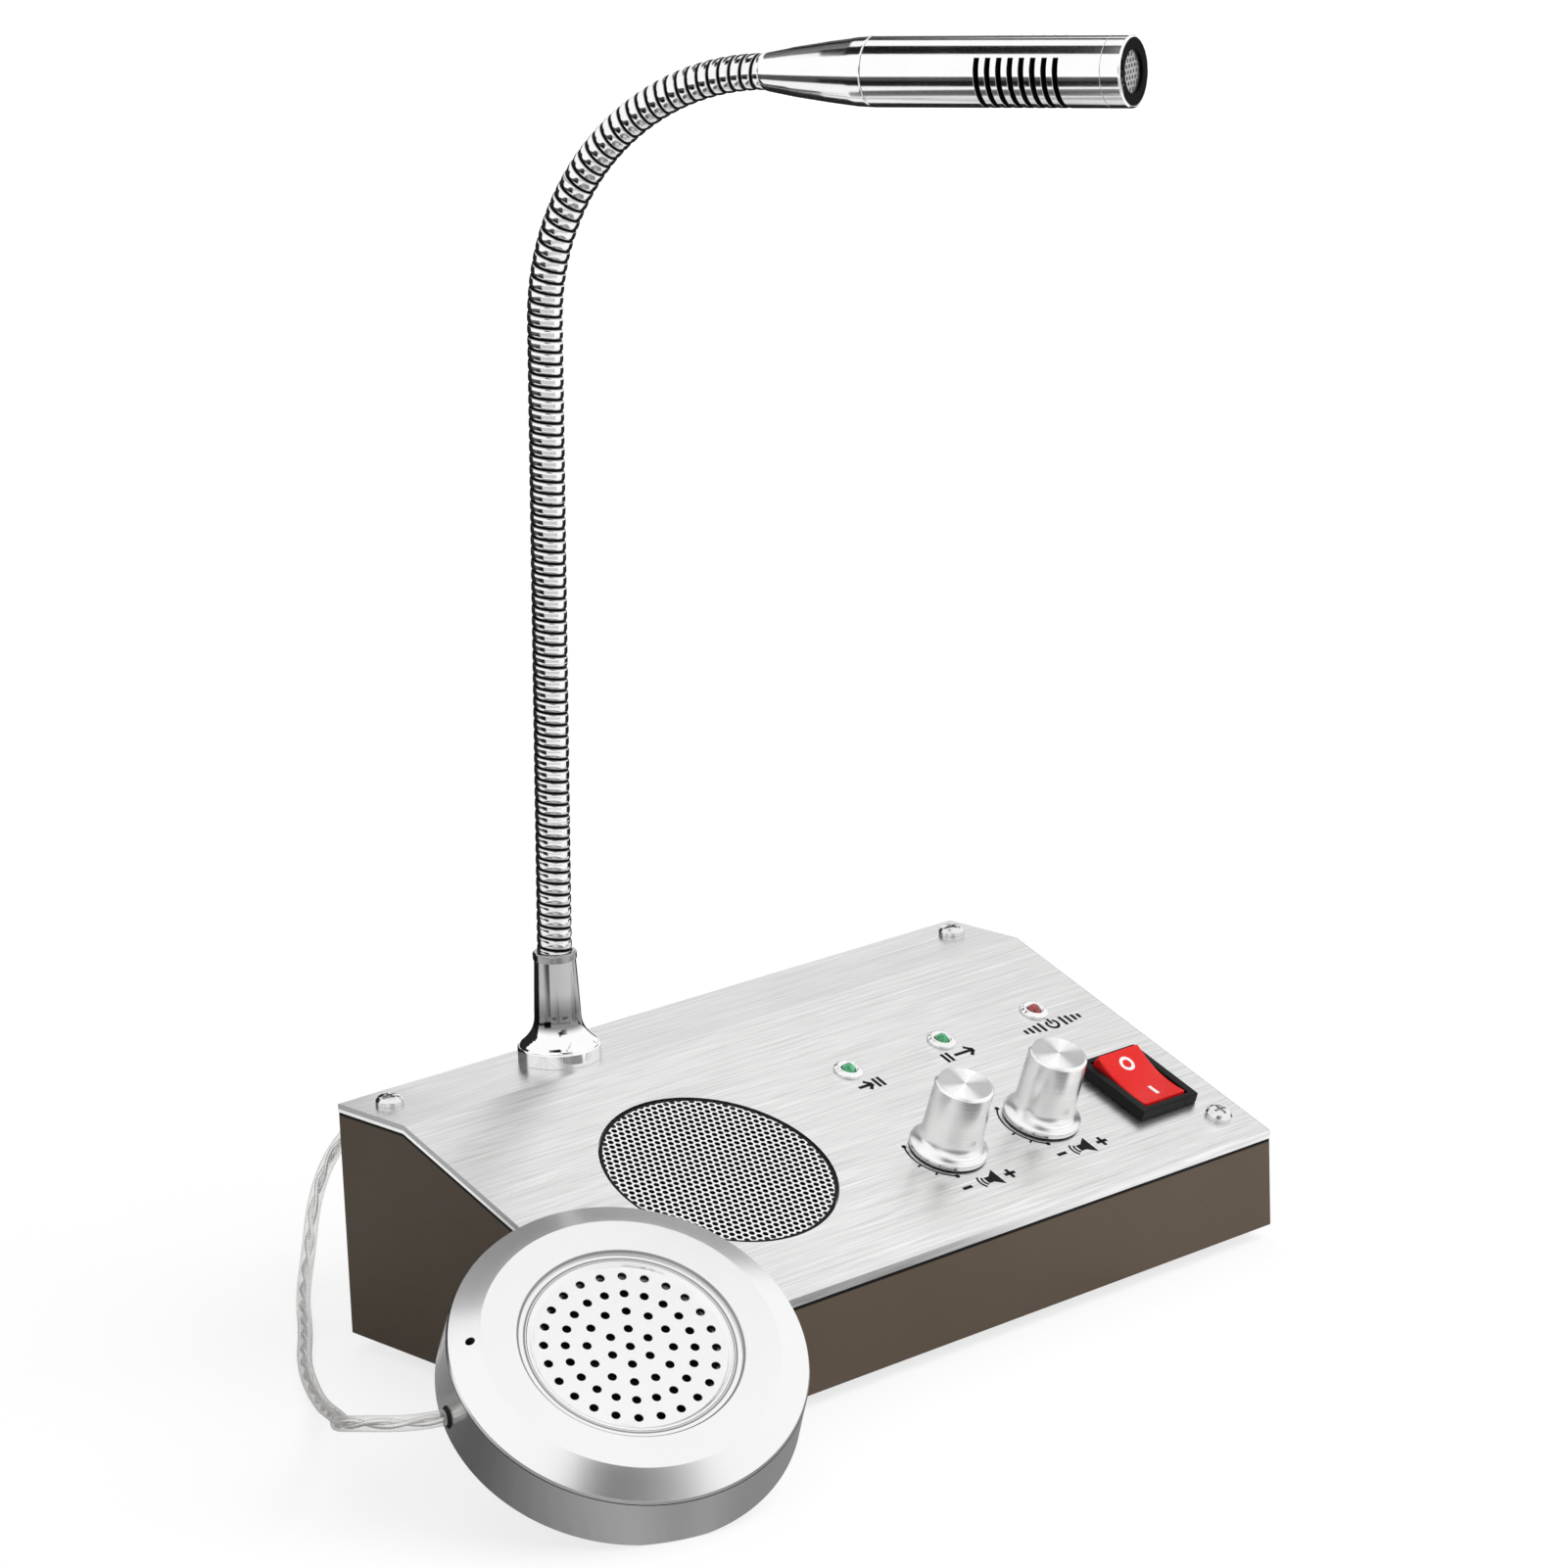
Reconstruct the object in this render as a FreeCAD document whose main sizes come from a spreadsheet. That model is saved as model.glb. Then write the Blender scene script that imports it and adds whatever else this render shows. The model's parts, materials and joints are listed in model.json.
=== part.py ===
import FreeCAD, Part
import math
import os
import re
import Sketcher

# Teller window intercom: a desk unit with a sloping control panel and a gooseneck
# microphone, and the round outside speaker that leans on the unit's corner.
# Millimetres and degrees. X runs along the panel, -Y is the operator's side, +Z is up,
# and the origin is on the table at the centre of the desk unit's plan.

SIZES = {
    # desk unit casing
    "unit_width": 180.0, "unit_depth": 100.0, "front_height": 22.1, "flat_depth": 22.2,
    "panel_slope": 20.57, "shell_wall": 1.5, "plate_thick": 1.8, "base_thick": 1.2,
    "base_gap": 0.2, "foot_height": 3.0, "foot_radius": 6.0, "foot_inset": 16.0,
    # screws and the posts that hold the casing together
    "post_size": 8.0, "post_inset": 7.4, "rear_screw_inset": 8.3, "front_screw_inset": 9.1,
    "screw_radius": 1.5, "thread_gap": 0.05, "screw_hole_gap": 0.2, "head_radius": 3.0,
    "head_height": 2.0, "screw_length": 8.0, "board_screw_length": 5.0,
    "recess_width": 0.7, "recess_length": 3.4,
    "recess_depth": 1.1,
    # loudspeaker under its perforated grille
    "grille_x": -36.9, "grille_rise": 0.75, "grille_radius": 25.5, "grille_gap": 0.3,
    "grille_drop": 0.3, "grille_thick": 0.8, "grille_pitch": 1.7, "grille_hole": 0.55,
    "grille_rim": 1.1, "flange_width": 2.5, "flange_thick": 1.2, "basket_depth": 11.0,
    "basket_radius": 15.0, "basket_wall": 1.0, "magnet_radius": 15.5, "magnet_depth": 7.0,
    "cone_gap": 0.6, "clip_width": 7.0, "clip_reach": 5.0, "clip_count": 3,
    # indicator lamps
    "led_inset": 58.3, "led_in_x": 14.6, "led_out_x": 42.9, "led_power_x": 71.8,
    "led_radius": 1.5, "led_length": 8.0, "led_dome": 1.2, "bezel_radius": 3.3,
    "bezel_height": 1.1, "bezel_shank": 2.6, "bezel_length": 5.0, "lamp_gap": 0.05,
    # volume controls
    "knob_inset": 26.1, "knob_in_x": 15.0, "knob_out_x": 43.3, "knob_radius": 6.5,
    "skirt_radius": 8.65, "knob_top": 17.3, "knob_lift": 0.8, "skirt_height": 3.8,
    "knob_recess": 7.0, "recess_height": 5.2, "shaft_radius": 3.0, "shaft_top": 14.0,
    "knob_bore_gap": 0.02, "running_gap": 0.05, "bush_radius": 3.5, "bush_top": 4.8,
    "pot_radius": 8.0, "pot_depth": 8.0, "pot_floor": 3.0, "nut_flats": 10.0,
    "nut_height": 2.2, "panel_gap": 0.1,
    # rocker switch
    "switch_x": 72.8, "switch_inset": 25.7, "switch_width": 17.6, "switch_length": 21.0,
    "switch_lip": 2.6, "body_width": 15.2, "body_length": 19.5, "body_depth": 15.0,
    "well_width": 13.3, "well_length": 18.1, "well_depth": 9.0, "rocker_gap": 0.3,
    "rocker_radius": 8.75, "rocker_rise": 3.2, "rocker_dip": 2.0, "rocker_bottom": 5.4,
    "rocker_tilt": 8.0, "pivot_height": 0.65, "pivot_radius": 1.0, "pivot_reach": 0.7,
    "pivot_gap": 0.08, "terminal_width": 4.8, "terminal_thick": 0.8, "terminal_length": 7.5,
    "terminal_pitch": 6.4,
    # circuit board
    "board_x": 26.0, "board_y": 8.0, "board_length": 66.0, "board_depth": 52.0,
    "board_thick": 1.6, "board_lift": 5.0, "board_inset": 4.0, "standoff_radius": 2.5,
    "capacitor_radius": 5.0, "capacitor_height": 13.0, "capacitor_pitch": 13.0,
    "sink_length": 20.0, "sink_width": 14.0, "sink_height": 9.0, "sink_base": 2.0,
    "fin_pitch": 4.0, "fin_gap": 2.0, "header_length": 9.0, "header_width": 5.8,
    "header_height": 6.0, "header_pitch": 14.5, "header_inset": 7.0,
    # rear sockets
    "line_x": -50.0, "line_z": 36.0, "line_bore": 1.8, "line_depth": 15.0,
    "line_bush": 4.0, "line_reach": 2.6, "line_body": 12.0, "line_length": 17.0,
    "power_x": 34.0, "power_z": 30.0, "power_bore": 3.1, "power_pin": 1.0,
    "power_depth": 9.0, "power_bush": 5.5, "power_flange": 7.0, "power_lip": 1.6,
    "power_length": 13.0, "socket_nut": 2.0,
    # gooseneck socket, neck and microphone
    "neck_x": -38.0, "neck_inset": 11.0, "socket_radius": 9.0, "socket_base": 3.5,
    "flare_top": 9.8, "stem_foot": 5.1, "stem_top": 4.5, "collar_radius": 4.75,
    "collar_height": 1.6, "socket_height": 24.0, "shank_radius": 5.0, "shank_length": 9.0,
    "neck_nut_flats": 14.0, "neck_nut_height": 3.5, "neck_radius": 3.75, "neck_entry": 6.0,
    "neck_lean": 2.2, "neck_turn": 20.0, "neck_straight": 136.8, "neck_bend": 55.4,
    "neck_stub": 12.0, "link_count": 6, "mic_rise": 1.4, "ball_radius": 3.1, "cup_gap": 0.3,
    "cup_rim": 1.5, "ball_shoulder": 0.5,
    "mic_radius": 7.1, "mic_length": 80.6, "tail_length": 24.6, "mic_wall": 0.9,
    "slot_start": 47.0, "slot_pitch": 2.42, "slot_width": 1.1, "slot_span": 120.0,
    "slot_turn": 31.0, "slot_count": 8, "ring_length": 4.2, "face_thick": 0.7,
    "mesh_radius": 4.3, "mesh_pitch": 1.3, "mesh_hole": 0.42, "mesh_thick": 0.5,
    "capsule_radius": 4.8, "capsule_length": 5.5,
    # outside speaker
    "puck_radius": 36.5, "puck_edge": 0.2, "puck_taper": 0.5, "puck_height": 16.4,
    "puck_bevel": 3.7, "bevel_width": 6.2,
    "puck_wall": 1.6, "puck_floor": 1.2, "puck_tilt": 33.95, "puck_turn": -21.2,
    "puck_side": 10.8, "puck_gap": 0.2, "dish_radius": 22.1, "dish_step": 20.5,
    "dish_ledge": 0.9, "dish_depth": 1.4, "dish_thick": 1.0, "dish_gap": 0.1,
    "hole_radius": 0.9, "hole_ring": 4.28, "hole_turn": 77.6, "mic_hole": 0.9,
    "mic_hole_turn": 167.0, "mic_hole_inset": 1.8, "driver_radius": 19.0,
    "driver_flange": 1.0, "driver_depth": 6.5, "driver_magnet": 9.0,
    "driver_magnet_depth": 2.6, "capsule_small": 3.0, "capsule_small_depth": 3.0,
    "boss_ring": 25.5, "boss_radius": 2.8, "boss_turn": 100.0, "boss_count": 3,
    "exit_turn": 182.0, "exit_height": 3.6, "grommet_radius": 2.3, "grommet_lip": 0.4,
    # speaker cable and its plug
    "cable_radius": 1.6, "plug_radius": 4.0, "plug_length": 15.0, "plug_tail": 8.0,
    "plug_tail_radius": 2.2, "plug_gap": 0.2, "plug_pin": 14.0,
}

doc = FreeCAD.newDocument("teller_window_intercom")
dims = doc.addObject("Spreadsheet::Sheet", "dims")
for row, (alias, size) in enumerate(SIZES.items(), start=1):
    dims.set(f"A{row}", alias)
    dims.set(f"B{row}", str(size))
    dims.setAlias(f"B{row}", alias)
doc.recompute()


# ---- expressions on the sheet -------------------------------------------------------

def bound(text):
    """The expression with each size's alias written as a cell of the sheet."""
    return re.sub(r"[a-z][a-z0-9_]*",
                  lambda word: "dims." + word.group(0) if word.group(0) in SIZES else word.group(0),
                  str(text))


def value(text):
    """The number that an expression on the sizes gives."""
    result = dims.evalExpression(str(text))
    return float(getattr(result, "Value", result))


def vector(x, y, z):
    return FreeCAD.Vector(value(x), value(y), value(z))


# heights and places that several pieces share, written on the sheet's sizes
BEND_Y = "(unit_depth / 2 - flat_depth)"
FRONT_TOP = "(foot_height + front_height)"
REAR_TOP = f"({FRONT_TOP} + (unit_depth - flat_depth) * tan(panel_slope))"
FLOOR_TOP = "(foot_height + base_thick)"
INSIDE_X = "(unit_width / 2 - shell_wall)"
INSIDE_Y = "(unit_depth / 2 - shell_wall)"
SCREW_X = "(unit_width / 2 - post_inset)"
REAR_SCREW_Y = "(unit_depth / 2 - rear_screw_inset)"
THREAD = "(screw_radius + thread_gap)"
SCREW_HOLE = "(screw_radius + screw_hole_gap)"
UNDER_FRONT = f"({FRONT_TOP} - plate_thick / cos(panel_slope))"
UNDER_BEND_Y = f"({BEND_Y} + plate_thick * tan(panel_slope / 2))"
BOARD_TOP = f"({FLOOR_TOP} + board_lift + board_thick)"
NECK_Y = "(unit_depth / 2 - neck_inset)"

# places down the slope: the controls and screws keep their distance from its front edge
SLOPE = "((unit_depth - flat_depth) / cos(panel_slope))"
SCREW_DOWN = f"({SLOPE} - front_screw_inset)"
LED_DOWN = f"({SLOPE} - led_inset)"
KNOB_DOWN = f"({SLOPE} - knob_inset)"
SWITCH_DOWN = f"({SLOPE} - switch_inset)"
GRILLE_DOWN = f"({SLOPE} / 2 - grille_rise)"
FLANGE = "(grille_radius + flange_width)"


# ---- placements ---------------------------------------------------------------------

def upright(x="0", y="0", z="0"):
    return f"placement(vector({x}; {y}; {z}); rotation(vector(0; 0; 1); 0))"


def on_panel(x, down, height="0"):
    """On the sloping panel: down is measured from its top bend, height off its face."""
    y = f"{BEND_Y} - ({down}) * cos(panel_slope) - ({height}) * sin(panel_slope)"
    z = f"{REAR_TOP} - ({down}) * sin(panel_slope) + ({height}) * cos(panel_slope)"
    return f"placement(vector({x}; {y}; {z}); rotation(vector(1; 0; 0); panel_slope))"


def out_of_rear(x, z, reach="0"):
    """Axis out of the rear wall's outer face."""
    y = f"unit_depth / 2 + {reach}"
    return f"placement(vector({x}; {y}; {z}); rotation(vector(1; 0; 0); -90))"


def in_puck(x="0", y="0", z="0", turn="0"):
    """In the outside speaker's frame: its back face's centre, its axis along Z.

    Its back rests on the panel's front left corner and its rim on the table.
    """
    rim = "(puck_radius - puck_edge)"
    climb = f"(({FRONT_TOP} + puck_gap * cos(puck_tilt)) / sin(puck_tilt) - {rim})"
    base_x = (f"-unit_width / 2 + puck_gap * sin(puck_turn) * sin(puck_tilt)"
              f" - puck_side * cos(puck_turn) + {climb} * sin(puck_turn) * cos(puck_tilt)")
    base_y = (f"-unit_depth / 2 - puck_gap * cos(puck_turn) * sin(puck_tilt)"
              f" - puck_side * sin(puck_turn) - {climb} * cos(puck_turn) * cos(puck_tilt)")
    return (f"placement(vector({base_x}; {base_y}; {rim} * sin(puck_tilt));"
            " rotation(vector(0; 0; 1); puck_turn))"
            " * placement(vector(0; 0; 0); rotation(vector(1; 0; 0); puck_tilt))"
            f" * placement(vector(0; 0; 0); rotation(vector(0; 0; 1); {turn}))"
            f" * placement(vector({x}; {y}; {z}); rotation(vector(0; 0; 1); 0))")


def spun(turn):
    """A turn about the local Z axis."""
    return f"placement(vector(0; 0; 0); rotation(vector(0; 0; 1); {turn}))"


# ---- sketches and part design features ----------------------------------------------

def new_body(label, place=None):
    body = doc.addObject("PartDesign::Body", label)
    body.Label = label
    if place:
        body.setExpression("Placement", bound(place))
    return body


def sketch_on(body, role, offset=None):
    """A sketch on one of the body's own origin planes, moved off it by an offset."""
    sketch = body.newObject("Sketcher::SketchObject", body.Label + "_sketch")
    origin_plane = next(plane for plane in body.Origin.OriginFeatures if plane.Role == role)
    sketch.AttachmentSupport = [(origin_plane, "")]
    sketch.MapMode = "FlatFace"
    if offset:
        sketch.setExpression("AttachmentOffset", bound(offset))
    return sketch


def pin_point(sketch, geometry, which, corner):
    """Ties a sketch point's two coordinates to expressions on the sheet."""
    for kind, text in zip(("DistanceX", "DistanceY"), corner):
        index = sketch.addConstraint(
            Sketcher.Constraint(kind, -1, 1, geometry, which, value(text)))
        sketch.setExpression(f"Constraints[{index}]", bound(text))


def outline(sketch, corners):
    """A closed outline of straight lines through corners given as expressions."""
    points = [FreeCAD.Vector(value(x), value(y), 0) for x, y in corners]
    first = sketch.GeometryCount
    count = len(points)
    for i, point in enumerate(points):
        sketch.addGeometry(Part.LineSegment(point, points[(i + 1) % count]))
    for i in range(count):
        sketch.addConstraint(
            Sketcher.Constraint("Coincident", first + i, 2, first + (i + 1) % count, 1))
    for i, corner in enumerate(corners):
        pin_point(sketch, first + i, 1, corner)


def circle(sketch, x, y, radius):
    index = sketch.addGeometry(
        Part.Circle(FreeCAD.Vector(value(x), value(y), 0), FreeCAD.Vector(0, 0, 1), value(radius)))
    pin_point(sketch, index, 3, (x, y))
    constraint = sketch.addConstraint(Sketcher.Constraint("Radius", index, value(radius)))
    sketch.setExpression(f"Constraints[{constraint}]", bound(radius))


def rectangle(sketch, x, y, width, height):
    """A rectangle about a centre."""
    outline(sketch, [(f"{x} - ({width}) / 2", f"{y} - ({height}) / 2"),
                     (f"{x} + ({width}) / 2", f"{y} - ({height}) / 2"),
                     (f"{x} + ({width}) / 2", f"{y} + ({height}) / 2"),
                     (f"{x} - ({width}) / 2", f"{y} + ({height}) / 2")])


def pad(body, sketch, length, centred=False):
    feature = body.newObject("PartDesign::Pad", body.Label + "_pad")
    feature.Profile = sketch
    feature.SideType = "Symmetric" if centred else "One side"
    feature.setExpression("Length", bound(length))
    body.Tip = feature
    return feature


def pocket(body, sketch, length, centred=False, upward=False):
    """Cuts below the sketch plane, or above it, or half each way."""
    feature = body.newObject("PartDesign::Pocket", body.Label + "_pocket")
    feature.Profile = sketch
    feature.SideType = "Symmetric" if centred else "One side"
    feature.Reversed = upward
    feature.setExpression("Length", bound(length))
    body.Tip = feature
    return feature


def turned(label, place, profile):
    """A body turned about its own Z axis from a closed profile of (radius, height)."""
    body = new_body(label, place)
    sketch = sketch_on(body, "XZ_Plane")
    outline(sketch, profile)
    feature = body.newObject("PartDesign::Revolution", label + "_turning")
    feature.Profile = sketch
    feature.ReferenceAxis = (sketch, ["V_Axis"])
    feature.Angle = 360.0
    body.Tip = feature
    return body


def round_holes(body, spots, radius, depth, offset=None, upward=False, centred=False):
    """Pockets one sketch of circles at the given spots."""
    sketch = sketch_on(body, "XY_Plane", offset)
    for x, y in spots:
        circle(sketch, x, y, radius)
    return pocket(body, sketch, depth, upward=upward, centred=centred)


def round_pattern(body, feature, count):
    pattern = body.newObject("PartDesign::PolarPattern", body.Label + "_ring")
    pattern.Originals = [feature]
    pattern.Axis = (feature.Profile[0], ["N_Axis"])
    pattern.Angle = 360.0
    if isinstance(count, int):
        pattern.Occurrences = count
    else:
        pattern.setExpression("Occurrences", bound(count))
    body.Tip = pattern
    return pattern


# ---- simple solids and groups -------------------------------------------------------

def rod(label, place, radius, height):
    solid = doc.addObject("Part::Cylinder", label)
    solid.Label = label
    solid.setExpression("Radius", bound(radius))
    solid.setExpression("Height", bound(height))
    solid.setExpression("Placement", bound(place))
    return solid


def block(label, place, length, width, height):
    """A box whose centre is on the Z axis of its place."""
    solid = doc.addObject("Part::Box", label)
    solid.Label = label
    solid.setExpression("Length", bound(length))
    solid.setExpression("Width", bound(width))
    solid.setExpression("Height", bound(height))
    centre = f"placement(vector(-({length}) / 2; -({width}) / 2; 0); rotation(vector(0; 0; 1); 0))"
    solid.setExpression("Placement", bound(f"{place} * {centre}"))
    return solid


def cut(label, base, tools):
    """The base with every tool cut away."""
    result = base
    for i, tool in enumerate(tools):
        step = doc.addObject("Part::Cut", f"{label}_cut_{i}")
        step.Base = result
        step.Tool = tool
        result = step
    result.Label = label
    return result


def fuse(label, solids):
    result = doc.addObject("Part::MultiFuse", label)
    result.Shapes = solids
    result.Label = label
    return result


def group(label, members):
    """Identical pieces in one node, as separate solids."""
    result = doc.addObject("Part::Compound", label)
    result.Links = members
    result.Label = label
    return result


def hexagon(flats):
    """Corners of a hexagon of the given width across flats."""
    return [(f"({flats}) / 2 / cos(30) * cos({60 * i})", f"({flats}) / 2 / cos(30) * sin({60 * i})")
            for i in range(6)]


def nut(label, place, flats, height, bore):
    body = new_body(label, place)
    sketch = sketch_on(body, "XY_Plane")
    outline(sketch, hexagon(flats))
    circle(sketch, "0", "0", bore)
    pad(body, sketch, height)
    return body


def pan_screw(label, place, length="screw_length"):
    """A screw whose head sits on Z = 0, with a cross recess in the head's top."""
    screw = turned(label, place, [
        ("0", f"-{length}"), ("screw_radius - 0.3", f"-{length}"),
        ("screw_radius", f"0.5 - {length}"), ("screw_radius", "0"), ("head_radius", "0"),
        ("head_radius", "head_height * 0.45"), ("head_radius * 0.8", "head_height * 0.85"),
        ("head_radius * 0.45", "head_height"), ("0", "head_height")])
    cross = sketch_on(screw, "XY_Plane", upright(z="head_height"))
    half = "recess_width / 2"
    reach = "recess_length / 2"
    outline(cross, [(half, f"-{reach}"), (half, f"-{half}"), (reach, f"-{half}"), (reach, half),
                    (half, half), (half, reach), (f"-{half}", reach), (f"-{half}", half),
                    (f"-{reach}", half), (f"-{reach}", f"-{half}"), (f"-{half}", f"-{half}"),
                    (f"-{half}", f"-{reach}")])
    pocket(screw, cross, "recess_depth")
    return screw


# ---- desk unit casing ---------------------------------------------------------------

def housing_shell():
    """Four painted walls, open above and below, cut to the panel's side profile."""
    shell = new_body("housing_shell")
    side = sketch_on(shell, "YZ_Plane")
    under_rear = f"({REAR_TOP} - plate_thick)"
    outline(side, [("-unit_depth / 2", "foot_height"), ("unit_depth / 2", "foot_height"),
                   ("unit_depth / 2", under_rear), (UNDER_BEND_Y, under_rear),
                   ("-unit_depth / 2", UNDER_FRONT)])
    pad(shell, side, "unit_width", centred=True)
    inside = sketch_on(shell, "XY_Plane")
    rectangle(inside, "0", "0", f"2 * {INSIDE_X}", f"2 * {INSIDE_Y}")
    pocket(shell, inside, f"2 * {REAR_TOP}", upward=True)
    sockets = sketch_on(shell, "XZ_Plane")
    circle(sockets, "line_x", "line_z", "line_bush + panel_gap")
    circle(sockets, "power_x", "power_z", "power_bush + panel_gap")
    pocket(shell, sockets, "unit_depth")
    return shell


def corner_screws():
    """The four panel screws' places, two on the flat and two on the slope."""
    return [upright(f"{sign}{SCREW_X}", REAR_SCREW_Y, REAR_TOP) for sign in ("-", "")] + \
           [on_panel(f"{sign}{SCREW_X}", SCREW_DOWN) for sign in ("-", "")]


def post_centres():
    """The four posts' plan centres; the front ones stand under the slanted thread."""
    front = (f"({BEND_Y} - {SCREW_DOWN} * cos(panel_slope)"
             " + (screw_length / 2) * sin(panel_slope))")
    return [(f"{sign}{SCREW_X}", y) for y in (REAR_SCREW_Y, front) for sign in ("-", "")]


def corner_posts():
    """Square posts from the bottom plate to the panel, tapped at both ends."""
    posts = []
    for i, ((x, y), screw) in enumerate(zip(post_centres(), corner_screws())):
        foot = upright(x, y, FLOOR_TOP)
        bar = block(f"post_bar_{i}", foot, "post_size", "post_size",
                    f"{REAR_TOP} - plate_thick - {FLOOR_TOP}")
        tools = [rod(f"post_lower_thread_{i}", foot, THREAD, "screw_length"),
                 rod(f"post_upper_thread_{i}", f"{screw} * {upright(z='-screw_length - 1')}",
                     THREAD, "screw_length + 1")]
        if i >= 2:
            above = on_panel(x, SCREW_DOWN, "-plate_thick")
            tools.append(block(f"post_slant_{i}", above, "2 * post_size", "4 * post_size",
                               "unit_depth"))
        posts.append(cut(f"post_{i}", bar, tools))
    return group("corner_posts", posts)


def top_plate():
    """The folded aluminium panel with its openings."""
    plate = new_body("top_plate")
    side = sketch_on(plate, "YZ_Plane")
    outline(side, [("-unit_depth / 2", UNDER_FRONT), (UNDER_BEND_Y, f"{REAR_TOP} - plate_thick"),
                   ("unit_depth / 2", f"{REAR_TOP} - plate_thick"), ("unit_depth / 2", REAR_TOP),
                   (BEND_Y, REAR_TOP), ("-unit_depth / 2", FRONT_TOP)])
    pad(plate, side, "unit_width", centred=True)
    face = on_panel("0", "0")
    round_holes(plate, [("grille_x", f"-{GRILLE_DOWN}")], "grille_radius + grille_gap",
                "4 * plate_thick", face, centred=True)
    round_holes(plate, [(x, f"-{LED_DOWN}") for x in ("led_in_x", "led_out_x", "led_power_x")],
                "bezel_shank + panel_gap", "4 * plate_thick", face, centred=True)
    round_holes(plate, [(x, f"-{KNOB_DOWN}") for x in ("knob_in_x", "knob_out_x")],
                "bush_radius + panel_gap", "4 * plate_thick", face, centred=True)
    round_holes(plate, [(f"{sign}{SCREW_X}", f"-{SCREW_DOWN}") for sign in ("-", "")],
                SCREW_HOLE, "4 * plate_thick", face, centred=True)
    switch = sketch_on(plate, "XY_Plane", face)
    rectangle(switch, "switch_x", f"-{SWITCH_DOWN}", "body_width + 2 * panel_gap",
              "body_length + 2 * panel_gap")
    pocket(plate, switch, "4 * plate_thick", centred=True)
    flat = upright(z=REAR_TOP)
    round_holes(plate, [(f"{sign}{SCREW_X}", REAR_SCREW_Y) for sign in ("-", "")],
                SCREW_HOLE, "4 * plate_thick", flat, centred=True)
    round_holes(plate, [("neck_x", NECK_Y)], "shank_radius + panel_gap",
                "4 * plate_thick", flat, centred=True)
    return plate


def bottom_plate():
    plate = new_body("bottom_plate")
    sheet = sketch_on(plate, "XY_Plane", upright(z="foot_height"))
    rectangle(sheet, "0", "0", f"2 * ({INSIDE_X} - base_gap)", f"2 * ({INSIDE_Y} - base_gap)")
    pad(plate, sheet, "base_thick")
    round_holes(plate, post_centres(), SCREW_HOLE, "4 * base_thick",
                upright(z="foot_height"), centred=True)
    return plate


def bottom_screws():
    """Screws from below into the posts, heads under the bottom plate."""
    down = "placement(vector(0; 0; 0); rotation(vector(1; 0; 0); 180))"
    return group("bottom_screws", [
        pan_screw(f"bottom_screw_{i}", f"{upright(x, y, 'foot_height')} * {down}")
        for i, (x, y) in enumerate(post_centres())])


def rubber_feet():
    feet = []
    for i, (side, end) in enumerate((a, b) for a in ("-", "") for b in ("-", "")):
        spot = upright(f"{side}(unit_width / 2 - foot_inset)", f"{end}(unit_depth / 2 - foot_inset)")
        feet.append(turned(f"foot_{i}", spot, [
            ("0", "0"), ("foot_radius - 0.8", "0"), ("foot_radius", "0.8"),
            ("foot_radius", "foot_height"), ("0", "foot_height")]))
    return group("rubber_feet", feet)


# ---- loudspeaker --------------------------------------------------------------------

def hex_grid(pitch, reach):
    """Centres of a triangular grid that lie within a radius."""
    spots = []
    rows = int(reach / (pitch * math.sin(math.pi / 3))) + 1
    columns = int(reach / pitch) + 1
    for row in range(-rows, rows + 1):
        for column in range(-columns, columns + 1):
            x = (column + (row % 2) / 2) * pitch
            y = row * pitch * math.sin(math.pi / 3)
            if math.hypot(x, y) <= reach:
                spots.append(FreeCAD.Vector(x, y, 0))
    return spots


def perforated_disc(radius, hole, pitch, rim, thick):
    """A flat disc with a triangular grid of round holes inside a plain rim."""
    up = FreeCAD.Vector(0, 0, 1)
    rings = [Part.Wire(Part.makeCircle(radius, FreeCAD.Vector(), up))]
    for spot in hex_grid(pitch, radius - rim - hole):
        ring = Part.Wire(Part.makeCircle(hole, spot, up))
        ring.reverse()
        rings.append(ring)
    return Part.Face(rings).extrude(up * thick)


def placed_shape(label, shape, place):
    feature = doc.addObject("Part::Feature", label)
    feature.Label = label
    feature.Shape = shape
    if isinstance(place, str):
        feature.setExpression("Placement", bound(place))
    else:
        feature.Placement = place
    return feature


def speaker_grille():
    """Perforated steel disc, flush in the panel, with a rim standing on the speaker."""
    sheet = perforated_disc(value("grille_radius"), value("grille_hole"), value("grille_pitch"),
                            value("grille_rim"), value("grille_thick"))
    depth = value("plate_thick - grille_drop - grille_thick")
    rim = Part.makeCylinder(value("grille_radius"), depth).cut(
        Part.makeCylinder(value("grille_radius - grille_rim"), depth))
    rim.translate(FreeCAD.Vector(0, 0, -depth))
    return placed_shape("speaker_grille", sheet.fuse(rim).removeSplitter(),
                        on_panel("grille_x", GRILLE_DOWN, "-grille_drop - grille_thick"))


def speaker_basket():
    """Pressed frame: a flange under the panel and a tapering basket with a back plate."""
    inner = "grille_radius - grille_rim"
    return turned("speaker_basket", on_panel("grille_x", GRILLE_DOWN, "-plate_thick"), [
        (inner, "0"), (FLANGE, "0"), (FLANGE, "-flange_thick"),
        (f"{inner} + basket_wall", "-flange_thick"),
        ("basket_radius + basket_wall", "-basket_depth"), ("0", "-basket_depth"),
        ("0", "basket_wall - basket_depth"), ("basket_radius", "basket_wall - basket_depth"),
        (inner, "-flange_thick")])


def speaker_magnet():
    return turned("speaker_magnet", on_panel("grille_x", GRILLE_DOWN,
                                             "-plate_thick - basket_depth"), [
        ("0", "-magnet_depth"), ("magnet_radius - 0.8", "-magnet_depth"),
        ("magnet_radius", "0.8 - magnet_depth"), ("magnet_radius", "-1.5"),
        ("magnet_radius - 2.5", "-1.5"), ("magnet_radius - 2.5", "0"), ("0", "0")])


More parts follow.
